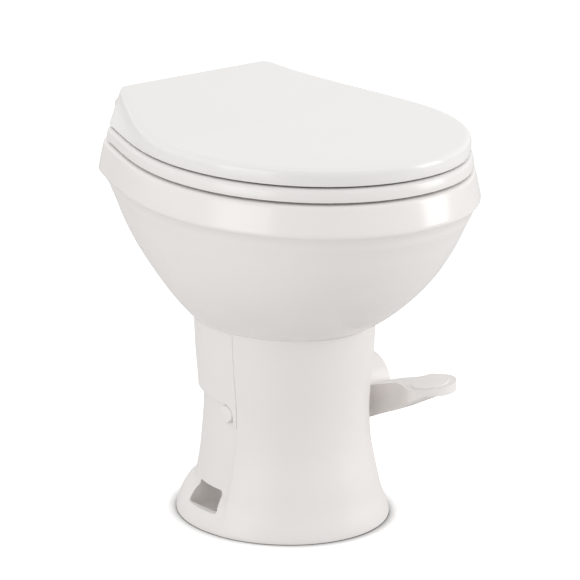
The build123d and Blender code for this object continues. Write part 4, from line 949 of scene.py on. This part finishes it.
def hinge_post(x):
    """One post with its foot and stud."""
    head = (x, HINGE_Y, HINGE_Z)
    post = slab((x - POST_HALF, HINGE_Y - HEAD_R, RIM_TOP), (x + POST_HALF, HINGE_Y + HEAD_R, HINGE_Z))
    combine(post, rod(HEAD_R, 2 * POST_HALF, head))
    combine(post, rod(FOOT_R, FOOT_HIGH, (x, HINGE_Y, RIM_TOP + 1.2), "Z"))
    cut(post, rod(STUD_R, 2 * POST_HALF + 4, head, "X", 32))
    soften(post, 0.8)
    stud_middle = (RIM_TOP + STUD_TAIL) / 2 + 1
    return join(post, rod(STUD_R, RIM_TOP - STUD_TAIL + 2, (x, HINGE_Y, stud_middle), "Z", 32))


posts = join(hinge_post(-POST_X), hinge_post(POST_X))
settle(posts, "hinge_post_pair", 40)
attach(posts, "toilet")
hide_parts("hinge_posts")

# %% [markdown]
# ## Finishes
# Every surface here is plain, so its life comes from small things: a colour that drifts a little
# over the piece, a gloss that is not quite even, and a fine relief that breaks up the highlights.
# One helper builds that from three noises on Object coordinates, so the pattern sits in the material
# and stays the same from every side. The finishes below only say how strong each of the three is.

# %% Moulded and fired finishes
looks = {}


def blank_tree(owner):
    """Empties the node tree of a material or world, and gives what makes and links its nodes."""
    owner.use_nodes = True
    owner.node_tree.nodes.clear()
    return owner.node_tree.nodes.new, owner.node_tree.links.new


def surface(name, light, dark, gloss, drift, grain, relief, relief_mm, **fixed):
    """A finish whose colour drifts from light to dark and whose roughness goes from low to high."""
    look = bpy.data.materials.new(name)
    make, link = blank_tree(look)
    out, shader = make("ShaderNodeOutputMaterial"), make("ShaderNodeBsdfPrincipled")
    place = make("ShaderNodeTexCoord")
    clouds, patches, fine = (make("ShaderNodeTexNoise") for _ in range(3))
    clouds.inputs["Scale"].default_value = drift
    clouds.inputs["Detail"].default_value = 3
    patches.inputs["Scale"].default_value = drift * 6
    patches.inputs["Detail"].default_value = 5
    fine.inputs["Scale"].default_value = grain
    fine.inputs["Detail"].default_value = 2
    colours = make("ShaderNodeValToRGB")
    colours.color_ramp.elements[0].position, colours.color_ramp.elements[1].position = 0.35, 0.65
    colours.color_ramp.elements[0].color = (*dark, 1)
    colours.color_ramp.elements[1].color = (*light, 1)
    wipe = make("ShaderNodeMapRange")
    wipe.inputs["From Min"].default_value, wipe.inputs["From Max"].default_value = 0.3, 0.7
    wipe.inputs["To Min"].default_value, wipe.inputs["To Max"].default_value = gloss
    bump = make("ShaderNodeBump")
    bump.inputs["Strength"].default_value = relief
    bump.inputs["Distance"].default_value = relief_mm * MM
    for noise in (clouds, patches, fine):
        link(place.outputs["Object"], noise.inputs["Vector"])
    link(clouds.outputs["Fac"], colours.inputs["Fac"])
    link(colours.outputs["Color"], shader.inputs["Base Color"])
    link(patches.outputs["Fac"], wipe.inputs["Value"])
    link(wipe.outputs["Result"], shader.inputs["Roughness"])
    link(fine.outputs["Fac"], bump.inputs["Height"])
    link(bump.outputs["Normal"], shader.inputs["Normal"])
    link(shader.outputs["BSDF"], out.inputs["Surface"])
    for socket, value in fixed.items():
        shader.inputs[socket.replace("_", " ")].default_value = value
    looks[name] = look
    return look


surface("china", (0.84, 0.812, 0.794), (0.822, 0.795, 0.778), (0.2, 0.27),
        5, 160, 0.1, 0.05, Coat_Weight=0.25, Coat_Roughness=0.16)
surface("lid_plastic", (0.836, 0.824, 0.813), (0.828, 0.816, 0.805), (0.17, 0.22), 6, 260, 0.1, 0.012)
surface("seat_plastic", (0.835, 0.815, 0.798), (0.827, 0.807, 0.79), (0.18, 0.24), 6, 260, 0.1, 0.012)
surface("shell_plastic", (0.845, 0.815, 0.797), (0.828, 0.799, 0.782), (0.36, 0.46), 5, 900, 0.12, 0.03)
surface("pedal_plastic", (0.845, 0.818, 0.8), (0.828, 0.801, 0.784), (0.34, 0.44), 8, 900, 0.12, 0.03)
surface("cap_plastic", (0.845, 0.816, 0.798), (0.83, 0.801, 0.784), (0.32, 0.4), 20, 900, 0.1, 0.03)
surface("hinge_plastic", (0.835, 0.815, 0.797), (0.815, 0.796, 0.778), (0.32, 0.42),
        20, 800, 0.12, 0.04)
print("light finishes:", sorted(looks))

# %% [markdown]
# Inside and behind, the parts are of other stuff: a dark glass-filled plastic for the valve, pale
# slippery plastic for the ball and its bushes, rubber for the seals and the hose, and steel. Rubber
# is rough and blotched. The steel's noise is stretched along one axis, as brushing leaves it.

# %% Finishes of the works
surface("valve_plastic", (0.016, 0.016, 0.018), (0.01, 0.01, 0.011), (0.42, 0.58), 30, 700, 0.25, 0.12)
surface("water_plastic", (0.035, 0.042, 0.055), (0.026, 0.031, 0.041), (0.35, 0.5), 30, 700, 0.2, 0.1)
surface("ball_plastic", (0.35, 0.35, 0.335), (0.32, 0.32, 0.305), (0.28, 0.38), 18, 600, 0.1, 0.08)
surface("bush_plastic", (0.6, 0.585, 0.51), (0.56, 0.545, 0.47), (0.35, 0.45), 25, 600, 0.12, 0.08)
surface("seal_rubber", (0.0075, 0.0075, 0.0078), (0.0045, 0.0045, 0.0047), (0.7, 0.88),
        60, 900, 0.35, 0.15)
surface("hose_rubber", (0.013, 0.013, 0.014), (0.008, 0.008, 0.009), (0.55, 0.72), 40, 800, 0.3, 0.12)
surface("bumper_rubber", (0.64, 0.62, 0.57), (0.6, 0.58, 0.53), (0.68, 0.82), 60, 900, 0.25, 0.1)


def brushed(name, light, dark, gloss, **fixed):
    """Steel: a metal finish whose noises are stretched along X."""
    look = surface(name, light, dark, gloss, 35.0, 900.0, 0.15, 0.05, Metallic=1.0, **fixed)
    tree = look.node_tree
    stretch = tree.nodes.new("ShaderNodeMapping")
    stretch.inputs["Scale"].default_value = (0.06, 1.0, 1.0)
    place = next(node for node in tree.nodes if node.type == "TEX_COORD")
    tree.links.new(place.outputs["Object"], stretch.inputs["Vector"])
    for noise in [node for node in tree.nodes if node.type == "TEX_NOISE"]:
        tree.links.new(stretch.outputs["Vector"], noise.inputs["Vector"])
    return look


brushed("steel", (0.62, 0.61, 0.60), (0.52, 0.51, 0.50), (0.22, 0.36))
brushed("spring_steel", (0.46, 0.45, 0.44), (0.36, 0.35, 0.34), (0.26, 0.40))

# %% [markdown]
# A finish shows only once it is on a piece. The new pieces get theirs by name, and each CAD node
# that is still seen gets the finish that the CAD record names for it.

# %% Every piece gets its finish
dressed = {lid: "lid_plastic", seat: "seat_plastic", bowl: "china", base: "shell_plastic",
           shroud: "shell_plastic", caps: "cap_plastic", pedal: "pedal_plastic",
           hub: "cap_plastic", posts: "hinge_plastic"}
for piece, slot_name in dressed.items():
    piece.data.materials.clear()
    piece.data.materials.append(looks[slot_name])
for part in frame["record"]["subparts"]:
    node = nodes[part["node"]]
    if not node.material_slots:
        node.data.materials.append(looks[part["material_slot"]])
    for material_slot in node.material_slots:
        material_slot.material = looks[part["material_slot"]]

# %% [markdown]
# ## Light and floor
# The photograph has soft light from both sides and from above, on a white ground. The world gives
# an even light, and three wide lamps add a little shape. A ray from the camera, or one that a gloss
# or a glass sends on, sees plain white instead.

# %% Light
scene.view_settings.view_transform = "Standard"
WORLD_LIGHT = 0.80
world = bpy.data.worlds.new("studio_world")
scene.world = world
make, link = blank_tree(world)
out = make("ShaderNodeOutputWorld")
lit = make("ShaderNodeBackground")
seen = make("ShaderNodeBackground")
either = make("ShaderNodeMixShader")
path = make("ShaderNodeLightPath")
add_glossy, add_glass = make("ShaderNodeMath"), make("ShaderNodeMath")
add_glossy.operation = add_glass.operation = "MAXIMUM"
lit.inputs["Color"].default_value = (1, 1, 1, 1)
lit.inputs["Strength"].default_value = WORLD_LIGHT
seen.inputs["Color"].default_value = (1, 1, 1, 1)
seen.inputs["Strength"].default_value = 1.0
link(path.outputs["Is Camera Ray"], add_glossy.inputs[0])
link(path.outputs["Is Glossy Ray"], add_glossy.inputs[1])
link(add_glossy.outputs[0], add_glass.inputs[0])
link(path.outputs["Is Transmission Ray"], add_glass.inputs[1])
link(add_glass.outputs[0], either.inputs["Fac"])
link(lit.outputs[0], either.inputs[1])
link(seen.outputs[0], either.inputs[2])
link(either.outputs[0], out.inputs["Surface"])


def soft_lamp(name, place, size, power, target=(0, 0, 0.3)):
    """A wide lamp that looks at the middle of the toilet."""
    data = bpy.data.lights.new(name, "AREA")
    data.shape = "RECTANGLE"
    data.size, data.size_y = size
    data.energy = power
    lamp = bpy.data.objects.new(name, data)
    scene.collection.objects.link(lamp)
    lamp.location = place
    lamp.rotation_euler = (Vector(target) - Vector(place)).to_track_quat("-Z", "Y").to_euler()
    return lamp


soft_lamp("left_box", (-2.4, 0.0, 0.7), (1.5, 1.5), 12)
soft_lamp("right_box", (2.0, -1.9, 1.0), (1.2, 1.6), 24)
soft_lamp("top_box", (0.2, 0.3, 2.6), (1.8, 1.8), 5)
print("world light", WORLD_LIGHT)

# %% [markdown]
# The floor is a plane that the camera sees as white, while other rays see a pale grey, so it does not
# flood the object with light from below. Close under the foot it darkens with the room left between
# floor and foot, which gives the tight contact shadow.

# %% Floor
CONTACT_REACH, FLOOR_BOUNCE = 0.026, (0.74, 0.73, 0.72, 1)
DARKEST, WHITEST = (0.08, 0.08, 0.08, 1), (1.40, 1.40, 1.40, 1)
let_go()
bpy.ops.mesh.primitive_plane_add(size=24, location=(0, 0, 0))
floor = bpy.context.active_object
floor.name = "floor"
floor_look = bpy.data.materials.new("white_floor")
make, link = blank_tree(floor_look)
out = make("ShaderNodeOutputMaterial")
shown = make("ShaderNodeBsdfDiffuse")
hidden = make("ShaderNodeBsdfDiffuse")
either = make("ShaderNodeMixShader")
path = make("ShaderNodeLightPath")
near = make("ShaderNodeAmbientOcclusion")
near.inputs["Distance"].default_value = CONTACT_REACH
near.samples = 8
contact = make("ShaderNodeValToRGB")
contact.color_ramp.elements[0].position, contact.color_ramp.elements[1].position = 0.48, 0.90
contact.color_ramp.elements[0].color = DARKEST
contact.color_ramp.elements[1].color = WHITEST
hidden.inputs["Color"].default_value = FLOOR_BOUNCE
link(near.outputs["AO"], contact.inputs["Fac"])
link(contact.outputs["Color"], shown.inputs["Color"])
link(path.outputs["Is Camera Ray"], either.inputs["Fac"])
link(hidden.outputs[0], either.inputs[1])
link(shown.outputs[0], either.inputs[2])
link(either.outputs[0], out.inputs["Surface"])
floor.data.materials.append(floor_look)
print("contact shadow reaches", CONTACT_REACH, "m from the foot")
